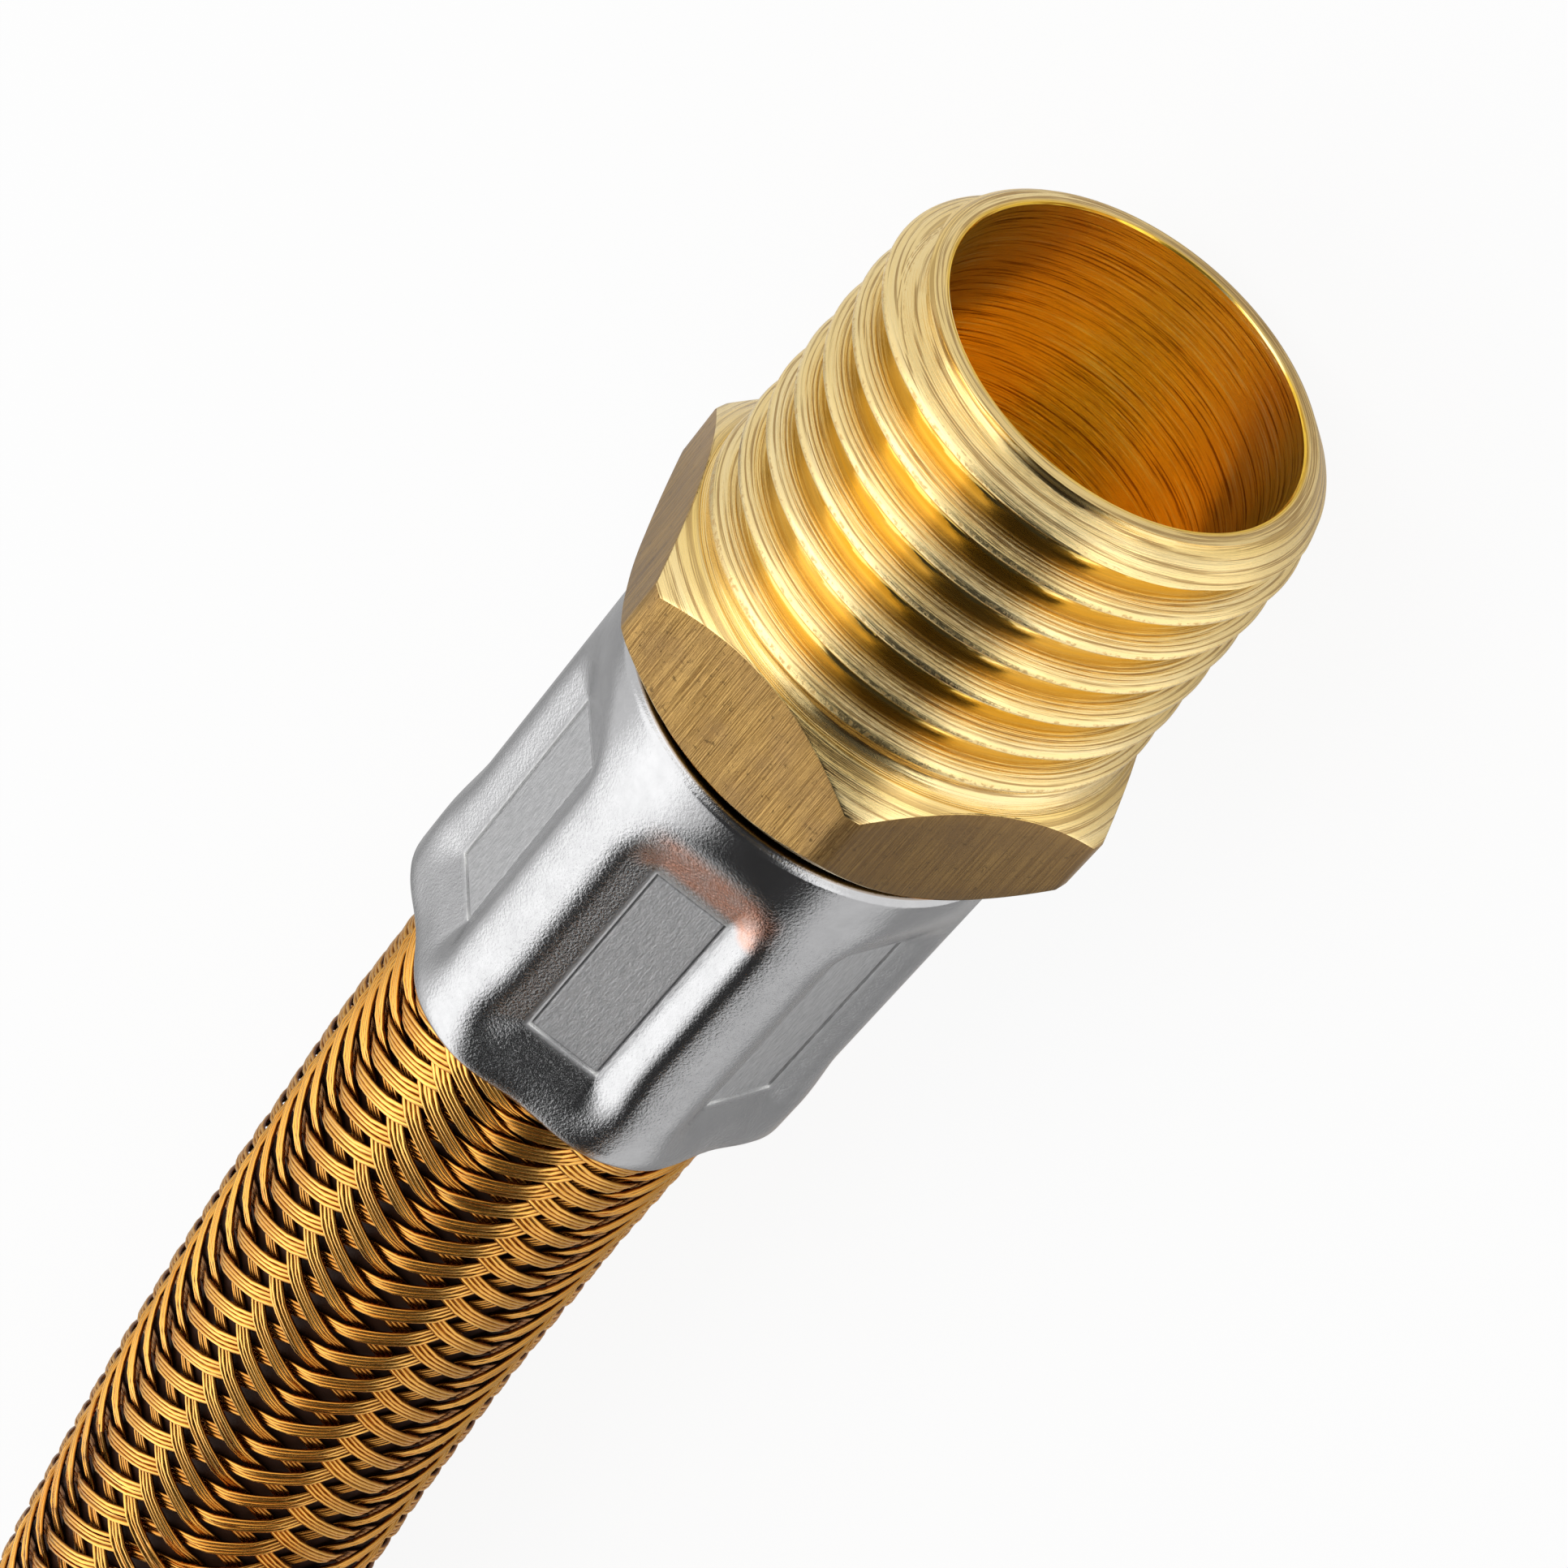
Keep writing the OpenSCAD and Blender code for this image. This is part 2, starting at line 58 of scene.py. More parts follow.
# ---- Rubber core of the hose ----
# A black synthetic rubber tube, extruded in one length and pushed onto the barbed stems at
# both ends. It shows as the dark ground between the wires of the braid.
MM = 0.001
core_r = 5.05
bore_r = 3.175
hose_r = 5.5
near_route = [
    (16.75, 0, 7), (21, 0, 6.9), (25, 0, 6.65), (29, 0.1, 6.35), (33, 0.2, 6.05), (37, 0.4, 5.8),
    (41, 0.65, 5.6), (45, 1, 5.5), (49, 1.45, 5.5), (53, 1.95, 5.5), (58, 2.7, 5.5),
    (64, 3.6, 5.5), (71, 4.7, 5.5), (78, 5.85, 5.5), (86, 7.1, 5.5),
]
coil_mid = (87.4785, 68.0821)
coil_r = 60
heading = math.radians(9)
arc_len = coil_r * math.radians(441)
climb, climb_from, climb_over = 11.6, 222, 100
tie_at, tie_lift, tie_reach = 30, 1.6, 30
tail_len = 67
tail_rise, rise_ahead, level_end = 6.9, 40, 11
route_step = 0.5
ring_gap = 2


def smooth(share):
    share = np.clip(share, 0, 1)
    return share * share * (3 - 2 * share)


def coil_point(s):
    """A point of the coil and of the tail behind it, s millimetres from the coil's start."""
    angle = math.degrees(s / coil_r)
    height = hose_r + climb * smooth((angle - climb_from) / climb_over)
    for tied in (tie_at, tie_at + 360):
        height += tie_lift * smooth(1 - abs(angle - tied) / tie_reach)
    height += tail_rise * smooth((s - arc_len + rise_ahead) / (rise_ahead + tail_len - level_end))
    turn = heading - math.pi / 2 + min(s, arc_len) / coil_r
    x, y = coil_mid[0] + coil_r * math.cos(turn), coil_mid[1] + coil_r * math.sin(turn)
    return (x, y + max(0, s - arc_len), height)


def through(points, first, last, step):
    """Points a step apart on a smooth curve through the given ones, and its directions."""
    points = np.array(points, float)
    gaps = np.linalg.norm(np.diff(points, axis=0), axis=1)
    at = np.concatenate([[0], np.cumsum(gaps)])
    slopes = np.gradient(points, at, axis=0)
    slopes[0], slopes[-1] = first, last
    fine = np.linspace(0, at[-1], int(at[-1] * 10))
    k = np.clip(np.searchsorted(at, fine, side="right") - 1, 0, len(points) - 2)
    t = ((fine - at[k]) / gaps[k])[:, None]
    g = gaps[k][:, None]
    curve = (
        (2 * t**3 - 3 * t**2 + 1) * points[k] + (t**3 - 2 * t**2 + t) * g * slopes[k]
        + (3 * t**2 - 2 * t**3) * points[k + 1] + (t**3 - t**2) * g * slopes[k + 1]
    )
    reach = np.concatenate([[0], np.cumsum(np.linalg.norm(np.diff(curve, axis=0), axis=1))])
    even = np.linspace(0, reach[-1], int(round(reach[-1] / step)) + 1)
    line = np.stack([np.interp(even, reach, curve[:, i]) for i in range(3)], axis=1)
    ways = np.gradient(line, even, axis=0)
    return even, line, ways / np.linalg.norm(ways, axis=1)[:, None]


route = near_route + [coil_point(s) for s in np.arange(0, arc_len + tail_len + 0.1, 3)]
route.append(coil_point(arc_len + tail_len))
route_at, route_line, route_way = through(route, (1, 0, 0), (0, 1, 0), route_step)
hose_len = route_at[-1]


def bend(straight):
    """Lays points of a straight hose, which runs along Z in millimetres, along the route."""
    s = straight[:, 2]
    inside = np.clip(s, 0, hose_len)
    middle = np.stack([np.interp(inside, route_at, route_line[:, i]) for i in range(3)], axis=1)
    way = np.stack([np.interp(inside, route_at, route_way[:, i]) for i in range(3)], axis=1)
    way /= np.linalg.norm(way, axis=1)[:, None]
    across = np.cross((0, 0, 1), way)
    across /= np.linalg.norm(across, axis=1)[:, None]
    over = np.cross(way, across)
    middle = middle + (s - inside)[:, None] * way
    return (middle + straight[:, :1] * across + straight[:, 1:2] * over) * MM


def read_points(mesh):
    flat = np.empty(len(mesh.vertices) * 3)
    mesh.vertices.foreach_get("co", flat)
    return flat.reshape(-1, 3)


def write_points(mesh, points):
    mesh.vertices.foreach_set("co", points.ravel())
    mesh.update()


def write_values(mesh, name, values):
    layer = mesh.attributes.new(name, "FLOAT", "POINT")
    layer.data.foreach_set("value", np.asarray(values, np.float32))


def finish_piece(mesh, name, body, materials, sharp=35):
    """Makes the mesh an object of the part, shaded smooth up to an edge angle."""
    mesh.shade_smooth()
    mesh.set_sharp_from_angle(angle=math.radians(sharp))
    for material in materials:
        mesh.materials.append(material)
    piece = bpy.data.objects.new(name, mesh)
    bpy.context.scene.collection.objects.link(piece)
    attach(piece, body)
    return piece


def to_mesh(bm, name):
    mesh = bpy.data.meshes.new(name)
    bm.to_mesh(mesh)
    bm.free()
    return mesh


def feed(tree, node, given):
    """Gives a node its inputs, by name or number: each a socket to join or a plain value."""
    for key, value in dict(given).items():
        if isinstance(value, bpy.types.NodeSocket):
            tree.links.new(value, node.inputs[key])
        else:
            node.inputs[key].default_value = value


def add(tree, kind, given=(), **settings):
    """A new node with its settings and its inputs."""
    made = tree.nodes.new(kind)
    for key, value in settings.items():
        setattr(made, key, value)
    feed(tree, made, given)
    return made


def maths(operation, *values):
    """A sum worked out in the node tree of its first value, which is a socket."""
    made = add(values[0].id_data, "ShaderNodeMath", enumerate(values), operation=operation)
    return made.outputs[0]


def scaled(value, factor, plus=0.0):
    return maths("MULTIPLY_ADD", value, factor, plus)


def blend(share, low, high):
    """A colour between two others, of which each may be a socket."""
    low, high = ((*c, 1) if isinstance(c, tuple) else c for c in (low, high))
    given = {0: share, 6: low, 7: high}
    return add(share.id_data, "ShaderNodeMix", given, data_type="RGBA").outputs[2]


def ramp(value, *stops):
    """A value that follows the stops, each a place and a height, in straight steps."""
    made = add(value.id_data, "ShaderNodeValToRGB", {0: value})
    steps = made.color_ramp.elements
    while len(steps) < len(stops):
        steps.new(1)
    for step, (place, height) in zip(steps, stops):
        step.position = place
        step.color = (height, height, height, 1)
    return made.outputs[0]


def new_material(name):
    """A material with its Principled BSDF, and its node tree."""
    material = bpy.data.materials.new(name)
    material.use_nodes = True
    tree = material.node_tree
    return material, tree, tree.nodes["Principled BSDF"]


def centred(tree, place):
    """Object coordinates in the millimetres of the piece that stands at this place."""
    spot, turn, size = place.inverted().decompose()
    source = tree.nodes.new("ShaderNodeTexCoord").outputs["Object"]
    return add(tree, "ShaderNodeMapping", {
        "Vector": source, "Location": spot, "Rotation": turn.to_euler(), "Scale": size,
    }).outputs[0]


def noise(vector, scale, detail=2.0, rough=0.5):
    return add(vector.id_data, "ShaderNodeTexNoise", {
        "Vector": vector, "Scale": scale, "Detail": detail, "Roughness": rough,
    }).outputs["Fac"]


def raised(height, strength, distance, **more):
    """The normals of a surface that a height raises, by up to a distance in metres."""
    given = {"Height": height, "Strength": strength, "Distance": distance, **more}
    return add(height.id_data, "ShaderNodeBump", given).outputs[0]


millimetres = Matrix.Scale(MM, 4)
rubber, tree, shader = new_material("core_rubber")
spot = centred(tree, millimetres)
grime = noise(spot, 0.9, 4)
feed(tree, shader, {
    "Base Color": blend(grime, (0.020, 0.006, 0.002), (0.060, 0.020, 0.007)),
    "Roughness": ramp(grime, (0.3, 0.75), (0.7, 0.55)),
    "Specular IOR Level": 0.3,
    "Normal": raised(noise(spot, 6, 3), 0.4, 0.00002),
})

bm = bmesh.new()
for radius in (core_r, bore_r):
    bmesh.ops.create_circle(bm, segments=24, radius=radius)
bmesh.ops.bridge_loops(bm, edges=bm.edges[:])
pushed = bmesh.ops.extrude_face_region(bm, geom=bm.faces[:])["geom"]
far_verts = [v for v in pushed if isinstance(v, bmesh.types.BMVert)]
bmesh.ops.translate(bm, vec=(0, 0, hose_len), verts=far_verts)
rails = [e for e in bm.edges if abs(e.verts[0].co.z - e.verts[1].co.z) > 1]
bmesh.ops.subdivide_edges(bm, edges=rails, cuts=int(hose_len / ring_gap) - 1)
bmesh.ops.recalc_face_normals(bm, faces=bm.faces)
mesh = to_mesh(bm, "hose_core")
write_points(mesh, bend(read_points(mesh)))
core = finish_piece(mesh, "hose_core", "root", [rubber])
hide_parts("hose_core_run", "hose_core_coil")

# ---- Wire braid ----
# Fine brass wire braided straight onto the rubber: fourteen bands of four wires run each way
# round the hose, and each band goes over two crossing bands and under the next two. The bands
# crowd together towards the ferrule, where the pull of the braiding machine started.
bands = 14
band_step = 1.51
crowding = 0.72
crowded_to = 7.0
first_band = 0.02
wire_d = 0.153
wires = 4
wire_turn = math.radians(3.0)
relief = 0.14
ridge_tops = (0.27, 0.5)
tightest = 0.58
band_sway, wire_sway, wire_lift = 0.010, 0.006, 0.018
band_wave, wire_wave, lift_wave = 6, 2.3, 1.7
to_middle = (wires - 1) / 2
over_sharp = 2.2
into_ferrule = 1.3
round_to = (27, 57)
flat_to = (195, 333, 471)
band_turn = 2 * math.pi / bands
braid_lead = bands * band_step
twist = 2 * math.pi / braid_lead
around = 2 * math.pi * hose_r
slant = math.atan(braid_lead / around)
wire_mid_r = hose_r - wire_d / 2 - relief
crossing = band_step / 2
sample = 0.1
laid_at = np.arange(-6, hose_len + 8, sample)
laid_step = band_step - crowding * np.exp(-(np.maximum(laid_at, 0) / crowded_to) ** 1.5)
laid_count = np.cumsum(sample / laid_step)
laid_count += first_band - np.interp(0, laid_at, laid_count)
laid_gap = laid_step / np.hypot(1, bands * laid_step / around)
laid_gap /= laid_gap[-1]


def marked(tree, name):
    """The values that a mesh carries under this name."""
    return add(tree, "ShaderNodeAttribute", attribute_name=name).outputs["Fac"]


def layered(colour, *layers):
    """A colour with others over it, each a share and a colour."""
    for share, over in layers:
        colour = blend(share, colour, over)
    return colour


brass_wire, tree, shader = new_material("brass_wire")
tone, rise, groove = (marked(tree, name) for name in ("tone", "rise", "groove"))
spot = centred(tree, millimetres)
patch = noise(spot, 0.35, 3)
feed(tree, shader, {
    "Base Color": layered(
        blend(tone, (0.80, 0.32, 0.04), (1.0, 0.48, 0.08)),
        (ramp(patch, (0.4, 0.0), (0.75, 0.35)), (0.55, 0.23, 0.035)),
        # painted highlight: a pale line along the top of each wire
        (ramp(groove, (0.0, 0.5), (0.3, 0.0)), (1.0, 0.68, 0.24)),
        # painted shade where the wires dip under the crossing bands
        (ramp(rise, (0.05, 0.5), (0.6, 0.0)), (0.32, 0.10, 0.014)),
        # painted shade on the sides of the wires and in the valleys between them
        (ramp(groove, (0.22, 0.0), (0.45, 0.55), (0.9, 1.0)), (0.16, 0.045, 0.006)),
    ),
    "Roughness": scaled(noise(spot, 5, 2), 0.16, 0.17),
    "Metallic": 1,
})


def over_two(n):
    """Which band lies on top at a crossing: +1 over two crossings, -1 under the next two."""
    return np.tanh(over_sharp * np.sin(math.pi * (n + 0.5) / 2)) / math.tanh(over_sharp)


chance = np.random.default_rng(7)
wander = chance.uniform(-1, 1, (2, bands, wires, 4))


def weave(straight, family):
    """Lays the straight wires of one family over and under the other, each a little astray."""
    x, y, z = straight.T
    turn = np.arctan2(y, x) / band_turn
    radius = np.hypot(x, y)
    way = 1 if family == 0 else -1
    own, other = turn - way * z / band_step, turn + way * z / band_step
    groove = 1 - np.clip((radius - wire_mid_r) / (wire_d / 2), 0, 1)
    band = np.rint(own)
    s = np.interp(z / band_step, laid_count, laid_at)
    inside = own - band
    own = band + inside / np.interp(s, laid_at, np.maximum(laid_gap, tightest))
    turn = (own + other) / 2 * band_turn
    s = np.interp(way * (other - own) / 2, laid_count, laid_at)
    rise = over_two(band + other) if family == 0 else -over_two(band + other)
    number = band.astype(int) % bands
    wire = np.rint(inside * band_turn / wire_turn + to_middle)
    wire = np.clip(wire, 0, wires - 1).astype(int)
    sway = wander[family, number, 0]
    stray = wander[family, number, wire]
    turn += band_sway * np.sin(s / band_wave + 3 * sway[:, 0]) * sway[:, 1]
    turn += wire_sway * np.sin(s / wire_wave + 3 * stray[:, 0]) * stray[:, 1]
    radius = radius + relief * rise
    radius += wire_lift * stray[:, 2] * np.sin(s / lift_wave + 3 * stray[:, 3])
    woven = np.stack([radius * np.cos(turn), radius * np.sin(turn), s], axis=1)
    tone = 0.5 + 0.35 * stray[:, 0] + 0.15 * sway[:, 0]
    return woven, {"rise": (rise + 1) / 2, "tone": tone, "groove": groove}


def helix(bm, profile, start, end, step, copies, spread):
    """Sweeps a profile that stands at +X along the braid's helix, then copies it round."""
    steps = int(round((end - start) / step))
    turn = Matrix.Rotation(twist * start, 3, "Z")
    bmesh.ops.rotate(bm, matrix=turn, verts=profile)
    bmesh.ops.translate(bm, vec=(0, 0, start), verts=profile)
    bmesh.ops.spin(
        bm, geom=bm.verts[:] + bm.edges[:] + bm.faces[:], angle=twist * (end - start), steps=steps,
        axis=(0, 0, 1), cent=(0, 0, 0), dvec=(0, 0, (end - start) / steps),
    )
    bmesh.ops.recalc_face_normals(bm, faces=bm.faces)
    for count, angle in zip(copies, spread):
        bmesh.ops.spin(
            bm, geom=bm.verts[:] + bm.edges[:] + bm.faces[:], angle=angle * (count - 1),
            steps=count - 1, axis=(0, 0, 1), cent=(0, 0, 0), use_duplicate=True,
        )


def braid_mesh(bm, name, family):
    """The swept wires of one family, woven and laid along the route."""
    if family == 1:
        bmesh.ops.scale(bm, vec=(1, -1, 1), verts=bm.verts)
        bmesh.ops.reverse_faces(bm, faces=bm.faces)
    mesh = to_mesh(bm, name)
    woven, values = weave(read_points(mesh), family)
    write_points(mesh, bend(woven))
    for key, value in values.items():
        write_values(mesh, key, value)
    return mesh


def wire_family(family, sides, start, end):
    bm = bmesh.new()
    loop = bmesh.ops.create_circle(bm, cap_ends=True, segments=sides, radius=wire_d / 2)["verts"]
    bmesh.ops.rotate(bm, matrix=Matrix.Rotation(slant - math.pi / 2, 3, "X"), verts=loop)
    bmesh.ops.translate(bm, vec=(wire_mid_r, 0, 0), verts=loop)
    bmesh.ops.rotate(bm, matrix=Matrix.Rotation(-to_middle * wire_turn, 3, "Z"), verts=loop)
    helix(bm, loop, start, end, crossing / 3, (wires, bands), (wire_turn, band_turn))
    return braid_mesh(bm, "braid_wires", family)


def band_family(family, start, end):
    bm = bmesh.new()
    corners = range(2 * wires + 1)
    loop = [bm.verts.new((wire_mid_r + wire_d * ridge_tops[k % 2], 0, 0)) for k in corners]
    for k, corner in enumerate(loop):
        turn = Matrix.Rotation((k - wires) / 2 * wire_turn, 3, "Z")
        bmesh.ops.rotate(bm, matrix=turn, verts=[corner])
    bm.faces.new(loop)
    helix(bm, loop, start, end, crossing, (bands,), (band_turn,))
    return braid_mesh(bm, "braid_bands", family)


def joined(meshes, name):
    bm = bmesh.new()
    for mesh in meshes:
        bm.from_mesh(mesh)
        bpy.data.meshes.remove(mesh)
    return to_mesh(bm, name)


ends = (-into_ferrule, *round_to, *flat_to, hose_len + into_ferrule)
places = np.rint(2 * np.interp(ends, laid_at, laid_count)) * crossing
for family, name in enumerate(("braid_wires_right", "braid_wires_left")):
    for k, sides in enumerate((8, 6)):
        mesh = wire_family(family, sides, places[k], places[k + 1])
        piece = finish_piece(mesh, f"{name}_{k + 1}", "root", [brass_wire], 60)
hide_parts("hose_braid_run")
for k in range(2, 6):
    meshes = [band_family(family, places[k], places[k + 1]) for family in (0, 1)]
    mesh = joined(meshes, "braid_bands")
    finish_piece(mesh, f"braid_bands_{k - 1}", "root", [brass_wire], 80)
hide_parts("hose_braid_coil")

# ---- Crimped ferrules ----
# A drawn steel sleeve, bright plated, at each end of the hose. Six jaws press it onto the
# braid: each leaves a flat-floored pocket with soft shoulders, and the rear edge swells between.
near_end = (
    Matrix.Translation((0.00195, 0, 0.007)) @ Matrix.Rotation(math.pi / 2, 4, "Y")
    @ Matrix.Scale(MM, 4)
)
far_end = (
    Matrix.Translation((0.1474785, 0.1350821, 0.024)) @ Matrix.Rotation(math.pi / 2, 4, "X")
    @ Matrix.Translation((0, 0, -0.0148)) @ Matrix.Scale(MM, 4)
)
ferrule_r = 6.5
ferrule_from, ferrule_to = 0.74, 14.8
lip_bore_r = 3.97
pockets = 6
floor_r = 5.6
floor_half = 1.15
floor_ends = (4.78, 12.22)
slope, steeper = 0.37, 1.22
soft = 0.3
swell, swell_from = 0.17, 4.2
drawn_in, drawn_from = 0.37, 3.4
rear_reach = 2.6
rolled_r = 5.6
crease, crease_wide = 0.10, 0.032
burr, burr_out, burr_wide = 0.03, 0.07, 0.035
edge_glint_out, edge_glint_wide = 0.045, 0.032
glint_side, glint_end, glint_ease = 1.1, 0.12, 0.05
worn_jaw, worn_from, worn_to = 2, 0.30, 2.3


def turned_mesh(name, profile, columns):
    """Turns a closed profile of (distance, radius) points round Z. Each vertex keeps its row."""
    bm = bmesh.new()
    rows = bm.verts.layers.int.new("row")
    line = []
    for k, (along, radius) in enumerate(profile):
        point = bm.verts.new((radius, 0, along))
        point[rows] = k
        line.append(point)
    edges = [bm.edges.new(pair) for pair in zip(line, line[1:] + line[:1])]
    bmesh.ops.spin(
        bm, geom=line + edges, angle=2 * math.pi, steps=columns, axis=(0, 0, 1),
        cent=(0, 0, 0), use_merge=True,
    )
    bmesh.ops.recalc_face_normals(bm, faces=bm.faces)
    return to_mesh(bm, name)


def read_turned(mesh):
    """Each vertex's row, its angle round Z, its radius and its distance along Z."""
    x, y, along = read_points(mesh).T
    rows = np.empty(len(x), np.int32)
    mesh.attributes["row"].data.foreach_get("value", rows)
    return rows, np.arctan2(y, x), np.hypot(x, y), along.copy()


def write_turned(mesh, angle, radius, along):
    write_points(mesh, np.stack([radius * np.cos(angle), radius * np.sin(angle), along], axis=1))


def among(rows, first, last):
    return (rows >= first) & (rows < last)


def share_out(angle, half, copies):
    """Which copy each evenly turned column belongs to, and its own angle from the copy's middle."""
    knots = np.radians([-v for v in reversed(half[1:])] + half[:-1])
    column = np.rint(angle / (2 * math.pi) * len(knots) * copies).astype(int)
    column %= len(knots) * copies
    return column // len(knots), knots[column % len(knots)]


def held_under(value, limit, soft):
    """The lesser of the two, with a soft change from one to the other."""
    share = np.clip(0.5 + 0.5 * (value - limit) / soft, 0, 1)
    return value + (limit - value) * share - soft * share * (1 - share)


def bell(value, width):
    return np.exp(-(value / width) ** 2)


def steps_between(start, end, step):
    count = max(1, int(round((end - start) / step)))
    return [start + (end - start) * k / count for k in range(count)]


def crimped_ferrule(name, place, turn):
    """A ferrule with its pockets, at the piece's place. Turn is that of the first pocket."""
    low, high = floor_ends
    fine = [-0.26, -0.16, -0.09, -0.05, -0.02, 0, 0.02, 0.05, 0.10, 0.20, 0.36]
    outer = steps_between(1.25, low - 1.6, 0.25) + steps_between(low - 1.6, low - 0.4, 0.14)
    outer += [low - v for v in reversed(fine)] + steps_between(low + 0.4, high - 0.4, 0.4)
    outer += [high + v for v in fine] + steps_between(high + 0.5, ferrule_to - 0.5, 0.16)
    lip = [(ferrule_from + v, r) for v, r in (
        (0.35, 3.95), (0, lip_bore_r), (-0.02, 4.2), (0.0, 5.8), (0.03, 6.2), (0.08, 6.34),
        (0.12, 6.40), (0.15, 6.41), (0.18, 6.38), (0.20, 6.36), (0.23, 6.38), (0.27, 6.44),
        (0.34, 6.49), (0.42, ferrule_r))]
    rim = [(ferrule_to + v, r) for v, r in (
        (-0.32, ferrule_r), (-0.16, 6.43), (-0.06, 6.32), (0, 6.15), (0.01, 5.95),
        (-0.04, 5.75), (-0.16, rolled_r))]
    inner = [s for s in reversed(outer) if ferrule_from + 1.3 < s < ferrule_to - 0.6]
    wall = ferrule_r - hose_r
    profile = lip + [(s, ferrule_r) for s in outer] + rim
    first_inner = len(profile)
    first_rim = first_inner - 4
    profile += [(s, hose_r) for s in inner]
    profile += [(ferrule_from + 1.2, r) for r in (hose_r, lip_bore_r)]
    half = [0, 0.35, 0.7, 0.9, 1.0, 1.06, 1.10, 1.13, 1.15, 1.17, 1.20, 1.25, 1.35, 1.5, 1.65]
    half += [1.78, 1.9, 2.02, 2.14, 2.26, 2.4, 2.6, 2.8]
    half = [math.degrees(math.asin(v / ferrule_r)) for v in half] + [27, 30]
    mesh = turned_mesh(name, profile, 2 * (len(half) - 1) * pockets)
    rows, angle, radius, s = read_turned(mesh)
    jaw, angle = share_out(angle, half, pockets)
    is_outer, is_rim = among(rows, len(lip), first_rim), among(rows, first_rim, first_inner)
    is_inner = among(rows, first_inner, first_inner + len(inner))
    radius = np.where(is_inner, radius + wall, radius)
    # towards its rear edge the sleeve swells to soft corners between the jaws
    between = 1 - ((1 + np.cos(pockets * angle)) / 2) ** 1.4
    swollen = swell * between * smooth((s - ferrule_to + swell_from) / rear_reach)
    drawn = drawn_in * (1 - between) * smooth((s - ferrule_to + drawn_from) / rear_reach)
    radius = np.where(is_outer, radius + swollen - drawn, radius)
    rolled = np.clip((radius - rolled_r) / (ferrule_r - rolled_r), 0, 1)
    rolled *= swell * between - drawn_in * (1 - between)
    radius = np.where(is_rim, radius + rolled, radius)
    # each jaw presses a flat floor with sloping walls, a crease round it and a burr beyond
    side, height = radius * np.sin(angle), radius * np.cos(angle)
    beside = np.maximum(np.abs(side) - floor_half, 0)
    past_end = np.maximum(low - s, 0) + np.maximum(s - high, 0)
    jaw_face = floor_r + slope * np.hypot(beside * np.where(side < 0, steeper, 1), past_end)
    border = np.minimum(floor_half - np.abs(side), np.minimum(s - low, high - s))
    folds = burr * bell(border + burr_out, burr_wide) - crease * bell(border, crease_wide)
    height = np.where(is_outer | is_inner, held_under(height, jaw_face, soft), height)
    height += np.where(is_outer, folds, 0)
    around = math.radians(turn) + jaw * 2 * math.pi / pockets + np.arctan2(side, height)
    write_turned(mesh, around, np.hypot(side, height) - np.where(is_inner, wall, 0), s)
    # what the jaws did to the plating: dulled, peeled and worn off; and a painted highlight along
    # the floor's edge
    beyond = np.hypot(beside, past_end)
    burnished = smooth((-side - 1.1) / 0.2) * (1 - smooth((beyond - 1.1) / 0.4))
    peeled = (1 - smooth((beyond - 1.6) / 1.2)) * (1 - 0.8 * burnished)
    # torn here only weighs the painted highlight along the floor's edge, fuller away from the
    # floor's middle
    torn = 0.2 + 0.8 * smooth((np.abs(side + 0.1) - 0.5) / 0.5)
    edge_glint = torn * smooth((s - high + glint_end) / glint_end)
    edge_glint = np.maximum(edge_glint, 0.7 * smooth((side - glint_side) / glint_ease))
    worn = smooth((beyond - worn_from) / 0.4) * smooth((worn_to - beyond) / 0.6)
    worn *= smooth((low - s + 0.1) / 0.4)
    worn *= smooth((worn_to - side) / 1.2) * smooth((side + worn_to + 0.2) / 0.6)
    for mark, values in (
        ("pocket", 1 - smooth(beyond / 0.3)), ("pressed", peeled),
        ("edge_glint", edge_glint * bell(border + edge_glint_out, edge_glint_wide)), ("worn", worn * (jaw == worn_jaw)),
    ):
        write_values(mesh, mark, np.where(is_outer, values, 0))
    # the lip mark carries painted shadow and a painted reflection of the brass hexagon beside it
    write_values(mesh, "lip", 1 - smooth((s - ferrule_from - 0.06) / 0.12))
    mesh.transform(place)
    return finish_piece(mesh, name, "root", [plated_steel(name, place)], 40)


def stretched(spot, scale):
    return add(spot.id_data, "ShaderNodeMapping", {"Vector": spot, "Scale": scale}).outputs[0]


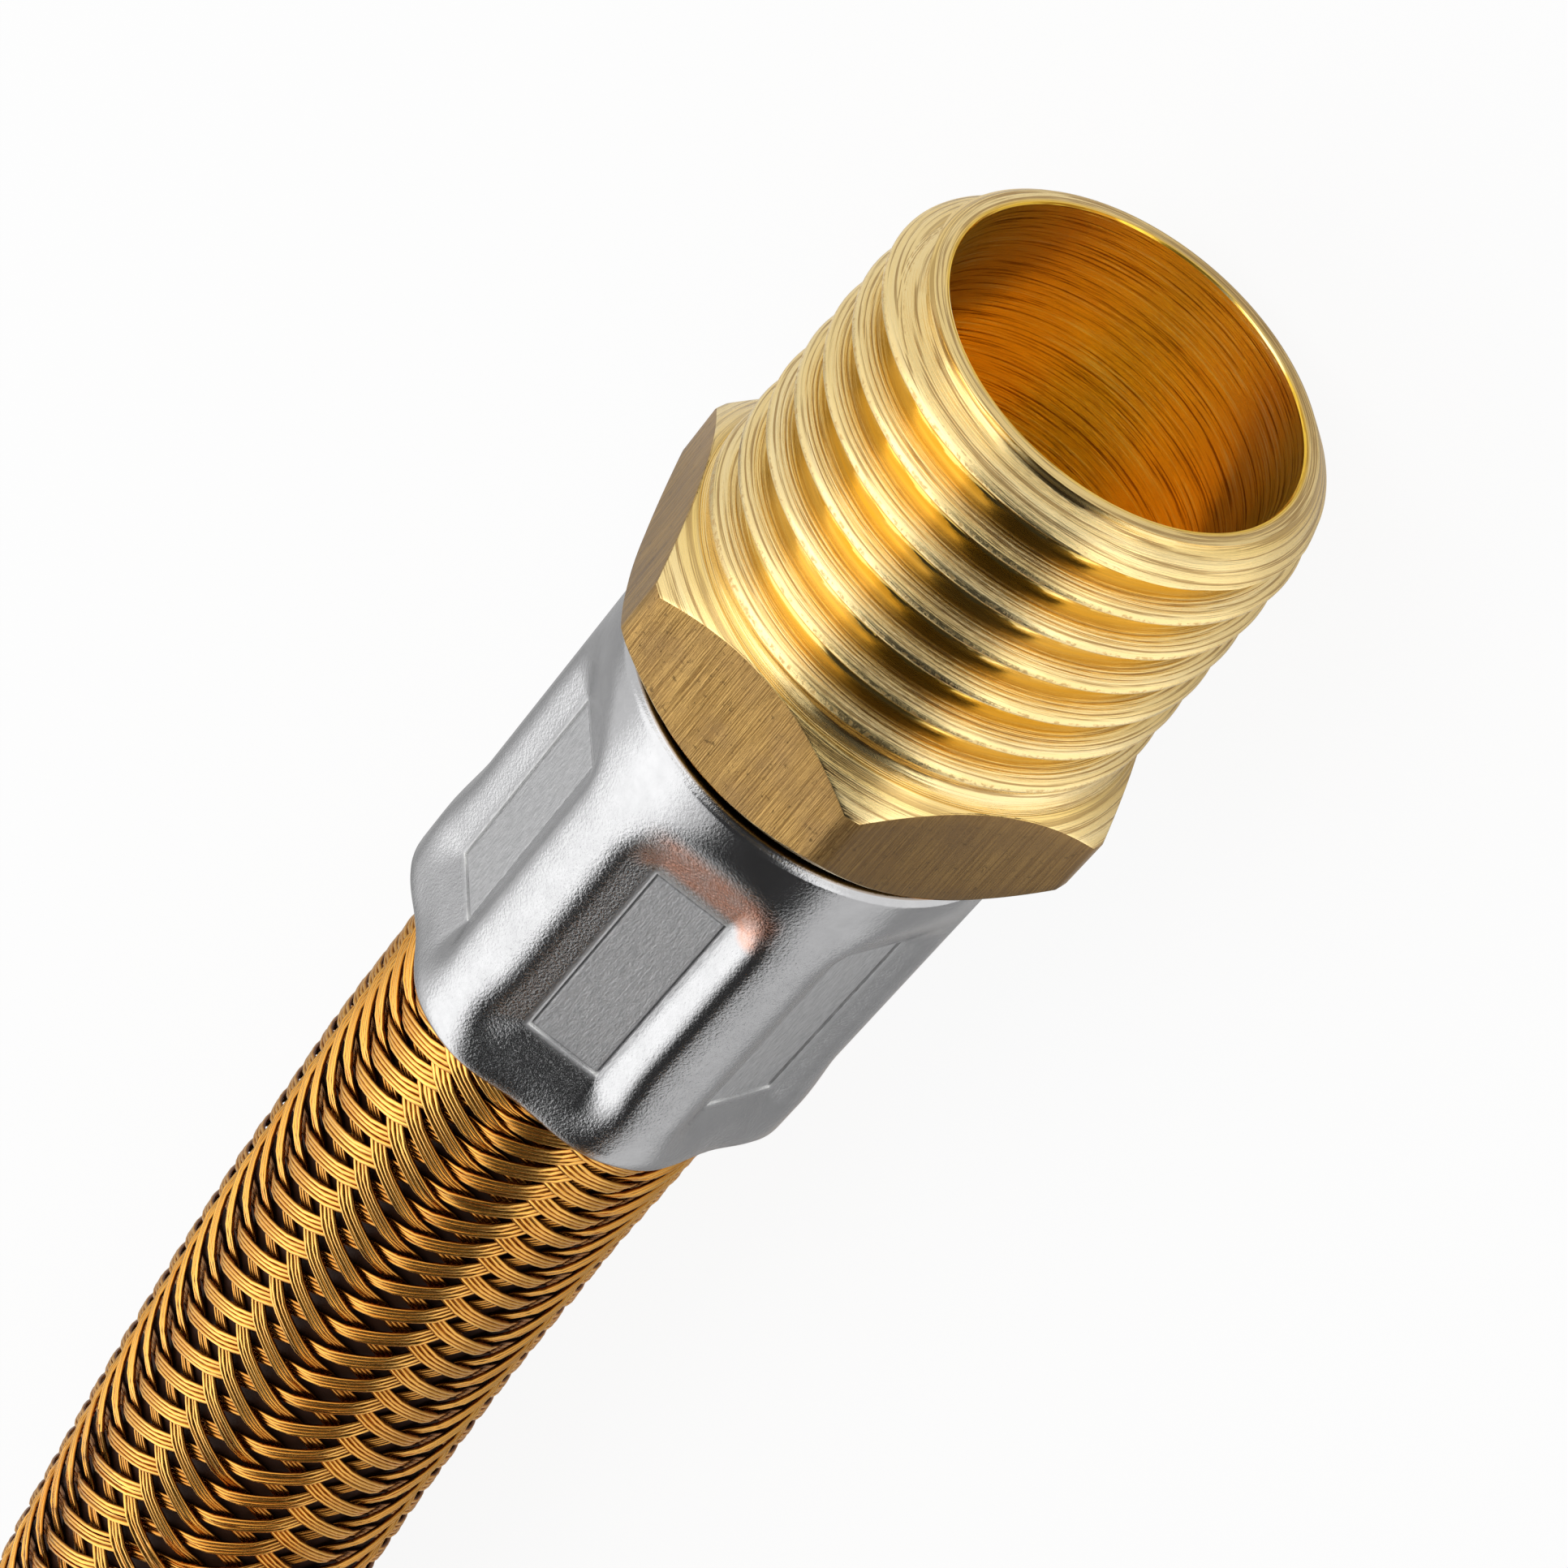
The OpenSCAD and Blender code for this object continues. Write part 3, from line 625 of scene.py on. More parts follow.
def plated_steel(name, place):
    """Bright plating over drawn steel: a fine orange peel, and dull streaks where it is pressed."""
    material, tree, shader = new_material(name + "_plating")
    spot = centred(tree, place)
    pocket, pressed = marked(tree, "pocket"), marked(tree, "pressed")
    worn, lip = marked(tree, "worn"), marked(tree, "lip")
    cloud = noise(spot, 1.3, 5, 0.65)
    peel = noise(spot, 11.0, 3, 0.6)
    grain = noise(stretched(spot, (9, 9, 1.6)), 1.6, 4, 0.7)
    bright, streaked = (ramp(value, (0.35, 0), (0.7, 1)) for value in (cloud, grain))
    bright = blend(bright, (0.49, 0.49, 0.495), (0.44, 0.44, 0.445))
    dull = blend(streaked, (0.58, 0.58, 0.585), (0.37, 0.37, 0.375))
    lip_edge = ramp(lip, (0.5, 0), (0.95, 1))
    edge_glint = scaled(marked(tree, "edge_glint"), ramp(grain, (0.30, 0.3), (0.55, 1.0)))
    colour = layered(
        bright, (scaled(pocket, 0.9), dull),
        (scaled(worn, ramp(cloud, (0.35, 0.45), (0.6, 0.85))), (0.66, 0.33, 0.22)),
        # painted reflection and painted shadow: grey-brown on the lip, near black at its front edge
        # in the gap beside the hexagon
        (ramp(lip, (0, 0), (0.5, 0.8), (0.9, 1)),
         blend(lip_edge, (0.30, 0.23, 0.17), (0.035, 0.024, 0.016))),
        # painted highlight: a white line along each floor's edge
        (edge_glint, (1.0, 1.0, 0.99)),
    )
    rough = scaled(edge_glint, 0.7, scaled(cloud, 0.06, 0.16))
    fine = raised(scaled(peel, scaled(pressed, 0.65, 0.35)), 1.0, 0.000026)
    feed(tree, shader, {
        "Base Color": colour,
        "Roughness": scaled(pocket, scaled(grain, 0.4, 0.16), rough),
        "Metallic": 1,
        "Normal": raised(scaled(grain, pocket), 0.8, 0.00003, Normal=fine),
    })
    return material


near_ferrule = crimped_ferrule("ferrule_regulator_end", near_end, 41.8)
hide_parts("regulator_ferrule")
far_ferrule = crimped_ferrule("ferrule_cylinder_end", far_end, 0)
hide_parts("cylinder_ferrule")

# ---- Regulator fitting ----
# One turned piece of hexagonal brass bar: a tapered male pipe thread with a plain bore, the
# hexagon for the spanner with its drawn flats, and the barbed stem inside the hose.
hex_len = 3.9
thread_len = 10.2
tip = -hex_len - thread_len
pitch = 1.411
depth = 0.9
taper = 1 / 32
tip_r = 6.63
face_r = 5.78
tip_bore_r = 5.33
first_crest = 0.87
hex_flat, hex_corner, hex_face = 7.0, 7.95, 6.97
hex_land = 0.02
run_out, run_out_from, run_out_over = 0.82, 1.7, 1.5
face_wide = 0.8
shaded_flat_mid, shaded_flat_half = 120, 31
turned_columns = 216
stem_bore = 2.0
barb_r, barb_root = 3.45, 3.05
stem_to = 14.0
neck_r = 3.9
barb_from = 3.8
barb_pitch = (stem_to - barb_from) / 4


def stem_profile():
    """The neck under the ferrule's lip, the barbs and the bore's rear end."""
    line = [(0.0, neck_r), (barb_from - 0.8, neck_r), (barb_from - 0.4, barb_root)]
    for k in range(4):
        start = barb_from + k * barb_pitch
        line += [
            (start + 0.4, barb_root), (start + 0.42, barb_r), (start + 0.9, barb_r),
            (start + barb_pitch, barb_root),
        ]
    return line[:-1] + [(stem_to, stem_bore + 0.6), (stem_to, stem_bore)]


def hexagon_rows(start, end, inner_front, inner_rear):
    """Profile rows of a hexagon with 45 degree turned corners, from its front to its rear."""
    cone, side = 7, 6
    rows = [("face", start, inner_front)] + [("front", start, k / cone) for k in range(cone)]
    rows += [("side", start, k / side) for k in range(side + 1)]
    rows += [("rear", end, k / cone) for k in reversed(range(cone))]
    return rows + [("face", end, inner_rear)]


def cut_hexagon(nut, first, rows, angle, along, radius, flat, corner):
    """Moves the nut's rows of a turned body onto its six flats and its turned corners."""
    start, end = nut[0][1], nut[-1][1]
    across = (angle + math.pi / 6) % (math.pi / 3) - math.pi / 6
    limit = np.minimum(flat / np.cos(across), corner)
    drop = limit - flat + hex_land
    for k, (kind, edge, share) in enumerate(nut):
        mine = rows == first + k
        if kind == "face":
            along[mine], radius[mine] = edge, share
        elif kind == "side":
            low, high = start + drop[mine], end - drop[mine]
            along[mine], radius[mine] = low + (high - low) * share, limit[mine]
        else:
            inward = 1 if kind == "front" else -1
            along[mine] = edge + inward * drop[mine] * share
            radius[mine] = flat - hex_land + drop[mine] * share


def round_edges(bm, edges, offset, segments, slide=False):
    bmesh.ops.bevel(
        bm, geom=edges, offset=offset, offset_type="OFFSET", segments=segments, profile=0.5,
        affect="EDGES", material=-1, loop_slide=slide,
    )


def edge_hexagon(mesh, nut, first, softened):
    """Marks the drawn flats for their own material and rounds the edges round them a little."""
    bm = bmesh.new()
    bm.from_mesh(mesh)
    layer = bm.verts.layers.int["row"]
    side = [first + k for k, row in enumerate(nut) if row[0] == "side"]
    for face in bm.faces:
        if all(side[0] <= v[layer] <= side[-1] for v in face.verts):
            face.material_index = 1
    rims = [
        e for e in bm.edges
        if e.verts[0][layer] == e.verts[1][layer] and e.verts[0][layer] in (side[0], side[-1])
    ]
    round_edges(bm, rims, softened, 2, slide=True)
    bm.to_mesh(mesh)
    bm.free()


def thread_shape(phase):
    """Height of the thread over its root, 0 to 1, at a phase that is whole at each crest."""
    crest_half, flank_from, flank_wide = 0.16, 0.12, 0.70
    away = np.abs(phase - np.rint(phase)) * 2
    crest = np.clip(away / crest_half, 0, 1)
    flank = np.clip((away - flank_from) / flank_wide, 0, 1)
    step = bell(away - 0.30, 0.035) - 0.6 * bell(away - 0.40, 0.035)
    return 1 - 0.04 * crest**2 - 0.96 * (1 - np.cos(math.pi * flank)) / 2 - 0.025 * step


thread_turn = math.radians(166.3)
front = [(tip + 11.4, stem_bore), (tip + 9.42, tip_bore_r - 0.04), (tip + 9.3, tip_bore_r)]
front += [(tip + v, tip_bore_r) for v in (7, 4.5, 2.5, 1.2, 0.5, 0.2, 0.05)]
bore_rows = len(front) + 1
front += [(tip, tip_bore_r + 0.04), (tip, 5.5), (tip, 5.7), (tip + 0.01, face_r - 0.02)]
first_thread_row = len(front)
front += [(tip + v, face_r + v) for v in (0.04, 0.12, 0.22, 0.32, 0.42, 0.52, 0.62, 0.72, 0.79)]
front += [(z, tip_r) for z in steps_between(tip + 0.85, -hex_len, pitch / 26)]
last_thread_row = len(front)
nut = hexagon_rows(-hex_len, 0, hex_face, 5.0)
profile = front + [(-hex_len + k * hex_len / len(nut), hex_flat) for k in range(len(nut))]
profile += stem_profile()
mesh = turned_mesh("male_fitting", profile, turned_columns)
rows, angle, radius, along = read_turned(mesh)
threaded = among(rows, first_thread_row, last_thread_row)
s = along - tip
phase = (s - first_crest) / pitch - (angle - thread_turn) / (2 * math.pi)
height = thread_shape(phase)
cut = depth * (1 - height)
cut *= 1 - run_out * smooth((s - thread_len + run_out_from) / run_out_over)
body = np.minimum(tip_r + taper * s, face_r + s)
radius = np.where(threaded, np.minimum(tip_r + taper * s - cut, body), radius)
cut_hexagon(nut, last_thread_row, rows, angle, along, radius, hex_flat, hex_corner)
write_turned(mesh, angle, radius, along)
left = np.clip(1 - (tip_r + taper * s - radius) / depth, 0, 1)
crest = np.where(threaded, np.where(s > face_wide, left, 0.4 + 0.75 * s), 0.6)
nut_rows = among(rows, last_thread_row, last_thread_row + len(nut))
crest = np.where(nut_rows, 0.35 + 0.6 * (radius - hex_face), crest)
write_values(mesh, "crest", crest)
write_values(mesh, "bore", rows < bore_rows)
# painted shade: the one flat at 120 degrees round the fitting is darkened
away = np.abs(np.degrees(angle) - shaded_flat_mid)
write_values(mesh, "shaded_flat", smooth((shaded_flat_half - away) / 2))
edge_hexagon(mesh, nut, last_thread_row, 0.05)
mesh.transform(near_end)


def turning_marks():
    """The fine rings and broader bands that a lathe tool leaves, round the local Z axis."""
    group = bpy.data.node_groups.new("turning_marks", "ShaderNodeTree")
    for name, in_out, kind in (
        ("Vector", "INPUT", "Vector"), ("Fineness", "INPUT", "Float"),
        ("Rings", "OUTPUT", "Float"), ("Bands", "OUTPUT", "Float"),
    ):
        group.interface.new_socket(name, in_out=in_out, socket_type="NodeSocket" + kind)
    given = group.nodes.new("NodeGroupInput").outputs
    x, y, z = add(group, "ShaderNodeSeparateXYZ", {"Vector": given["Vector"]}).outputs
    reach = maths("SQRT", scaled(x, x, scaled(y, y)))
    track = scaled(scaled(reach, 1.7, z), given["Fineness"])
    out = group.nodes.new("NodeGroupOutput")
    for name, factor, spin in (("Rings", 1.0, 0.30), ("Bands", 0.12, 0.12)):
        parts = scaled(track, factor), scaled(x, spin), scaled(y, spin)
        vector = add(group, "ShaderNodeCombineXYZ", enumerate(parts)).outputs[0]
        group.links.new(noise(vector, 1.0, 4, 0.6), out.inputs[name])
    return group


marks_group = turning_marks()


def turned_brass(name, place):
    """Brass straight from the lathe, pale on the crests, with a deeper gold painted into the roots
    as shade and bounced light.
    """
    material, tree, shader = new_material(name)
    spot = centred(tree, place)
    rings, broad = add(
        tree, "ShaderNodeGroup", {"Vector": spot, "Fineness": 14.0}, node_tree=marks_group,
    ).outputs
    crest, bore = marked(tree, "crest"), marked(tree, "bore")
    upper = ramp(crest, (0.15, 0.12), (0.55, 1))
    wave = maths("SINE", scaled(broad, 9.0, scaled(crest, 42.0)))
    steps = scaled(scaled(wave, 0.16, rings), upper)
    torn = ramp(noise(spot, 5.5, 5, 0.7), (0.50, 0), (0.60, 1))
    torn = scaled(ramp(crest, (0.982, 0), (0.994, 1)), torn)
    gold, pale, deep = (0.85, 0.56, 0.11), (0.93, 0.71, 0.32), (0.40, 0.18, 0.01)
    # painted reflection: inside the bore a deep saturated gold with bright rings stands for light
    # bounced round it; the bore is also made a little less metallic below
    inside = layered(
        blend(ramp(rings, (0.36, 1), (0.47, 0)), (0.98, 0.62, 0.07), deep),
        (ramp(rings, (0.57, 0), (0.66, 1)), (1.0, 0.84, 0.40)),
    )
    # painted shade and bounced light: the colour deepens from pale on the crests to gold in the
    # roots
    colour = layered(
        blend(ramp(crest, (0.05, 0), (0.7, 1)), gold, pale),
        (ramp(broad, (0.45, 0.0), (0.7, 0.4)), (0.96, 0.83, 0.52)),
        (scaled(ramp(steps, (0.32, 0.8), (0.44, 0.0)), upper), (0.36, 0.21, 0.07)),
        (scaled(torn, 0.6), (0.50, 0.27, 0.07)),
        (bore, inside),
    )
    feed(tree, shader, {
        "Base Color": colour,
        "Roughness": scaled(torn, 0.2, scaled(steps, 0.22, 0.09)),
        "Metallic": scaled(bore, -0.12, 1.0),
        "Normal": raised(scaled(torn, -0.1, steps), 1.0, 0.000021),
    })
    return material


def drawn_brass(name, place):
    """The flats of hexagonal bar, dull and streaked along its length by the drawing die."""
    material, tree, shader = new_material(name)
    spot = centred(tree, place)
    streak = noise(stretched(spot, (14, 14, 0.2)), 1.5, 5, 0.7)
    pits, patch = noise(spot, 4.5, 4, 0.7), noise(spot, 0.6, 4)
    drawn = ramp(streak, (0.40, 0), (0.60, 1))
    feed(tree, shader, {
        "Base Color": layered(
            blend(drawn, (0.24, 0.13, 0.034), (0.58, 0.36, 0.12)),
            (ramp(patch, (0.42, 0), (0.7, 0.6)), (0.30, 0.18, 0.075)),
            # painted shade on that one flat
            (scaled(marked(tree, "shaded_flat"), 0.65), (0.115, 0.060, 0.018)),
            (ramp(pits, (0.60, 0), (0.68, 0.65)), (0.09, 0.05, 0.016)),
        ),
        "Roughness": scaled(streak, 0.2, 0.25),
        "Metallic": 1,
        "Normal": raised(streak, 0.8, 0.00003),
    })
    return material


brass = [turned_brass("turned_brass_near", near_end), drawn_brass("drawn_brass_near", near_end)]
fitting = finish_piece(mesh, "regulator_fitting", "root", brass, 30)
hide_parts("male_fitting")

# ---- Cylinder nipple ----
# Turned from hexagonal brass bar like the near fitting: the barbed stem in the hose, a hexagon
# for the spanner, the body the handwheel turns on, its flange and the rounded nose in front.
nipple_flat, nipple_corner = 9.5, 10.45
nipple_hex_front = -8.0
nipple_r = 8.0
flange_r = 12.4
flange_back, flange_front = -20.0, -22.4
nose_end = -43.0
nose_from, nose_long, nose_r, nose_round = -37.9, 4.7, 5.9, 2.1
chamber_r, chamber_end = 5.0, -25.2
front = [(chamber_end + v, r) for v, r in (
    (1.0, stem_bore), (0.03, stem_bore), (0, stem_bore + 0.03), (0, chamber_r - 0.03),
    (-0.03, chamber_r))]
front += [(z, chamber_r) for z in (-29, -33, -37, -40, -42.0, -42.6)]
first_outer = len(front)
front += [(-42.85, 5.08), (nose_end, 5.28), (nose_end, 5.42), (-42.94, 5.6), (-42.78, 5.76)]
for k in range(1, 9):
    around = k / 8 * math.pi / 2
    z = nose_from - nose_long * math.cos(around)
    front.append((z, nose_r + nose_round * math.sin(around)))
front += [(z, nipple_r) for z in (-37, -34, -30, -26, flange_front - 0.5, flange_front - 0.1)]
front += [(flange_front, nipple_r + 0.1), (flange_front, 10), (flange_front, flange_r - 0.5)]
front += [(flange_front + 0.15, flange_r - 0.15), (flange_front + 0.5, flange_r)]
front += [(flange_back - 0.25, flange_r), (flange_back - 0.05, flange_r - 0.1)]
front += [(flange_back, flange_r - 0.3), (flange_back, nipple_r + 0.1)]
front += [(z, nipple_r) for z in (flange_back + 0.1, -17, -13)]
front += [(nipple_hex_front - 0.3, nipple_r), (nipple_hex_front - 0.02, nipple_r + 0.3)]
nut = hexagon_rows(nipple_hex_front, 0, 9.4, 5.0)
profile = front + [(nipple_hex_front * (1 - k / len(nut)), nipple_flat) for k in range(len(nut))]
mesh = turned_mesh("cylinder_nipple", profile + stem_profile(), 168)
rows, angle, radius, along = read_turned(mesh)
cut_hexagon(nut, len(front), rows, angle, along, radius, nipple_flat, nipple_corner)
write_turned(mesh, angle, radius, along)
write_values(mesh, "crest", np.where(rows < first_outer, 0.5, 0.45 + 0.1 * np.sin(4 * radius)))
for mark in ("bore", "shaded_flat"):
    write_values(mesh, mark, np.zeros(len(rows)))
edge_hexagon(mesh, nut, len(front), 0.08)
mesh.transform(far_end)
turned_far = turned_brass("turned_brass_far", far_end)
brass = [turned_far, drawn_brass("drawn_brass_far", far_end)]
nipple = finish_piece(mesh, "cylinder_nipple_visual", "root", brass, 30)
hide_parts("cylinder_nipple")

# ---- Handwheel ----
# A moulded plastic wheel with twelve finger hollows. It turns on the nipple and its coarse
# inside thread screws onto the cylinder valve by hand.
wheel_r = 24.0
wheel_back, wheel_seat, wheel_mouth = -10.0, -15.0, -48.5
hole_r, seat_r, mouth_r = 8.3, 12.9, 17.0
grips = 12
grip_r, grip_depth, grip_soft = 4.0, 1.6, 0.35
edge_r = 1.8
socket_r, socket_depth, socket_pitch = 14.13, 2.7, 5.08
socket_from, socket_to, socket_ease = -43.5, -25.1, 1.2
crest_half, flank_wide, rounded = 0.94, 0.70, 0.35
quarter = [math.radians(15 * k) for k in range(7)]
profile = [(wheel_seat, hole_r + 0.1), (wheel_seat + 0.1, hole_r), (-12.5, hole_r)]
profile += [(wheel_back + v, r) for v, r in (
    (-0.5, hole_r), (-0.15, hole_r + 0.15), (0, hole_r + 0.5), (0, 12), (0, 14), (-0.5, 14.6),
    (-0.6, 15.2), (-0.6, 18.8), (-0.5, 19.4), (0, 20), (0, 21))]
first_outer = len(profile)
profile += [
    (wheel_back - edge_r * (1 - math.cos(c)), wheel_r - edge_r * (1 - math.sin(c))) for c in quarter
]
rows_to = wheel_mouth + edge_r + 1
profile += [(z, wheel_r) for z in steps_between(wheel_back - edge_r - 1, rows_to, 3)]
profile += [
    (wheel_mouth + edge_r * (1 - math.sin(c)), wheel_r - edge_r * (1 - math.cos(c))) for c in quarter
]
last_outer = len(profile)
profile += [(wheel_mouth + v, r) for v, r in (
    (0, 21), (0, 19.6), (0.3, 19.3), (0.3, 18.6), (0, 18.3), (0, 17.7), (0.15, 17.25),
    (0.5, 17.04), (1, mouth_r), (3, mouth_r))]
profile.append((socket_from - 0.1, mouth_r))
first_thread = len(profile)
profile += [(z, socket_r) for z in steps_between(socket_from, socket_to, 0.21)]
last_thread = len(profile)
profile += [(socket_to, socket_r), (socket_to + 0.02, seat_r + 0.1)]
profile += [(z, seat_r) for z in (socket_to + 0.2, -22, -18, wheel_seat - 0.2)]
profile += [(wheel_seat, seat_r - 0.2), (wheel_seat, 10)]
half = [0, 1.8, 3.4, 4.8, 5.8, 6.4, 6.9, 7.3, 7.7, 8.2, 9.0, 10.6, 12.8, 15]
mesh = turned_mesh("handwheel", profile, 2 * (len(half) - 1) * grips)
rows, angle, radius, along = read_turned(mesh)
grip, offset = share_out(angle, half, grips)
angle = (grip + 0.5) * 2 * math.pi / grips + offset
centre = wheel_r + grip_r - grip_depth
beside = np.clip(grip_r**2 - (centre * np.sin(offset)) ** 2, 0, None)
hollow = np.where(beside > 0, centre * np.cos(offset) - np.sqrt(beside), centre)
is_outer = among(rows, first_outer, last_outer)
radius = np.where(is_outer, held_under(radius, hollow, grip_soft), radius)
turns = (along - socket_from) / socket_pitch - angle / (2 * math.pi)
apart = np.abs(turns - np.rint(turns)) * socket_pitch
flank = np.clip((apart - crest_half) / flank_wide, 0, 1)
groove = smooth(flank) * rounded + flank * (1 - rounded)
groove *= smooth((socket_to - along) / socket_ease)
is_thread = among(rows, first_thread, last_thread)
radius = np.where(is_thread, socket_r + socket_depth * groove, radius)
write_turned(mesh, angle, radius, along)
mesh.transform(far_end)


def moulded(name, place, colour, rough, fine=5.0):
    """Plastic from a mould: one colour with faint clouds, and a fine satin grain."""
    material, tree, shader = new_material(name)
    spot = centred(tree, place)
    grain = noise(spot, fine, 3)
    darker = tuple(0.8 * c for c in colour)
    feed(tree, shader, {
        "Base Color": blend(noise(spot, 0.5, 3), darker, colour),
        "Roughness": scaled(grain, 0.16, rough),
        "Normal": raised(grain, 0.4, 0.00003),
    })
    return material


green = moulded("green_plastic", far_end, (0.006, 0.085, 0.032), 0.28, 3.5)
wheel = finish_piece(mesh, "handwheel_visual", "wheel", [green], 50)
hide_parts("handwheel")

# ---- Coil tie ----
# A black nylon tie pulled round both turns of the coil. Its strap runs through the square head,
# where a pawl holds it, and is cut short beyond.
tie_s = coil_r * math.radians(tie_at)
tie_low = coil_point(tie_s)
tie_high = coil_point(tie_s + coil_r * 2 * math.pi)[2]
strap_in, strap_out, strap_half = 5.87, 7.03, 2.4
rib_deep = 0.14
head_size, head_in, head_round = (4.9, 7.0, 5.4), 0.55, 0.45
window_in, window_deep = 1.3, 1.1
end_size, end_out, end_up, end_round = (1.15, 4.7, 5.0), 1.3, 2.9, 0.15
bm = bmesh.new()
half = [
    (strap_in, strap_half), (strap_out - 0.2, strap_half), (strap_out, strap_half - 0.25),
    (strap_out, 1.5), (strap_out - rib_deep, 1.2),
]
outline = [(x, -y) for x, y in half] + half[::-1]
strap = [bm.verts.new((x, y, tie_high)) for x, y in outline]
loop = bm.faces.new(strap)
for middle, move in ((tie_high, tie_low[2] - tie_high), (tie_low[2], tie_high - tie_low[2])):
    swung = bmesh.ops.spin(
        bm, geom=[loop, *loop.edges, *loop.verts], cent=(0, 0, middle), axis=(0, -1, 0),
        angle=math.pi, steps=24,
    )["geom_last"]
    loop = next(f for f in swung if isinstance(f, bmesh.types.BMFace))
    moved = bmesh.ops.extrude_face_region(bm, geom=[loop])["geom"]
    loop = next(f for f in moved if isinstance(f, bmesh.types.BMFace))
    bmesh.ops.translate(bm, vec=(0, 0, move), verts=loop.verts)
bmesh.ops.remove_doubles(bm, verts=bm.verts, dist=0.01)
for face in [f for f in bm.faces if len(f.verts) == len(outline)]:
    bm.faces.remove(face)
bmesh.ops.recalc_face_normals(bm, faces=bm.faces)


def block(bm, size, middle):
    made = bmesh.ops.create_cube(bm, size=1)["verts"]
    bmesh.ops.scale(bm, vec=size, verts=made)
    bmesh.ops.translate(bm, vec=middle, verts=made)
    return made


# the head with its window, and the cut end of the strap above it
middle = (tie_low[2] + tie_high) / 2
made = block(bm, head_size, (strap_out - head_in + head_size[0] / 2, 0, middle))
sides = list({f for v in made for f in v.link_faces})
outer = max(sides, key=lambda f: f.calc_center_median().x)
bmesh.ops.inset_individual(bm, faces=[outer], thickness=window_in)
bmesh.ops.translate(bm, vec=(-window_deep, 0, 0), verts=outer.verts)
edges = list({e for f in sides for e in f.edges if f is not outer} - set(outer.edges))
round_edges(bm, edges, head_round, 3)
made = block(bm, end_size, (strap_out + end_out, 0, middle + end_up))
round_edges(bm, list({e for v in made for e in v.link_edges}), end_round, 2)
mesh = to_mesh(bm, "coil_tie")
turned = Matrix.Rotation(heading - math.pi / 2 + math.radians(tie_at), 4, "Z")
mesh.transform(Matrix.Scale(MM, 4) @ Matrix.Translation((tie_low[0], tie_low[1], 0)) @ turned)
nylon = moulded("tie_nylon", millimetres, (0.012, 0.012, 0.013), 0.3)
tie = finish_piece(mesh, "coil_tie_visual", "root", [nylon], 40)
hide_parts("coil_tie")

# ---- Parts taken as they are ----
# The crimped ends inside the ferrules, the heat-release bushing behind the flange, and the
# flow check in the nose: seat, poppet, spring and retaining ring.
black = moulded("black_plastic", far_end, (0.012, 0.012, 0.012), 0.35)
white = moulded("white_plastic", far_end, (0.72, 0.70, 0.64), 0.3)
steel = moulded("spring_steel", far_end, (0.55, 0.55, 0.56), 0.2)
steel.node_tree.nodes["Principled BSDF"].inputs["Metallic"].default_value = 1
for material, *nodes in (
    (rubber, "regulator_core_end", "cylinder_core_end"),
    (brass_wire, "regulator_braid_end", "cylinder_braid_end"),
    (black, "thermal_bushing"), (turned_far, "flow_seat"), (white, "flow_poppet"),
    (steel, "flow_spring", "flow_retainer"),
):
    for node in nodes:
        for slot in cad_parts[node].material_slots:
            slot.material = material

middles = bend(np.stack([0 * route_at, 0 * route_at, route_at], axis=1))

# ---- Floor, lamps and surroundings ----
# A white table under soft strip lamps that run beside the fitting. Dark cards, seen only in
# reflections, put the dark line into the metal between them, and pale cards that glow, seen only
# in reflections too, add bright reflections without lighting anything.
near_line = Vector((0, 0.2368, 0.9715))
sideways = Vector((0, 0.9715, -0.2368))
lamp_far, lamp_len, card_far = 0.4, 1.9, 0.36
table_gap = 0.0002


def strip_matrix(turn, distance, along):
    """A place beside the fitting's axis, turned round it from the camera's side, facing it."""
    angle = math.radians(turn)
    out = near_line * math.cos(angle) + sideways * math.sin(angle)
    spot = Vector((along, 0, 0.007)) + out * distance
    ahead = Vector((1, 0, 0))
    facing = Matrix((ahead, out.cross(ahead), out)).transposed().to_4x4()
    return Matrix.Translation(spot) @ facing


def wide(spread, distance):
    return 2 * distance * math.tan(math.radians(spread))


for name, turn, spread, strength in (("main_strip", -47, 22, 1.0), ("side_strip", 76, 10, 0.3)):
    data = bpy.data.lights.new(name, "AREA")
    data.shape = "RECTANGLE"
    data.size, data.size_y = lamp_len, wide(spread, lamp_far)
    data.energy = strength * math.pi * data.size * data.size_y
    lamp = bpy.data.objects.new(name, data)
    bpy.context.scene.collection.objects.link(lamp)
    lamp.matrix_world = strip_matrix(turn, lamp_far, 0.5)


def bare_tree(owner):
    """The empty node tree of a material or the world."""
    owner.use_nodes = True
    owner.node_tree.nodes.clear()
    return owner.node_tree


def flat_piece(name, length, width, place):
    """A flat rectangle with a material of its own, as part of the surroundings."""
    bm = bmesh.new()
    bmesh.ops.create_grid(bm, x_segments=1, y_segments=1, size=0.5)
    bmesh.ops.scale(bm, vec=(length, width, 1), verts=bm.verts)
    bmesh.ops.transform(bm, matrix=place, verts=bm.verts)
    piece = bpy.data.objects.new(name, to_mesh(bm, name))
    bpy.context.scene.collection.objects.link(piece)
    material = bpy.data.materials.new(name)
    piece.data.materials.append(material)
    return piece, bare_tree(material)


def card(name, shade, length, width, place):
    """A card that only reflections see, glowing in one shade from 0, black, to 1, white, or
    brighter.
    """
    piece, tree = flat_piece(name, length, width, place)
    glow = add(tree, "ShaderNodeEmission", {"Color": (shade, shade, shade, 1), "Strength": 1.0})
    add(tree, "ShaderNodeOutputMaterial", {0: glow.outputs[0]})
    piece.visible_camera = piece.visible_diffuse = piece.visible_shadow = False
    piece.visible_transmission = piece.visible_volume_scatter = False


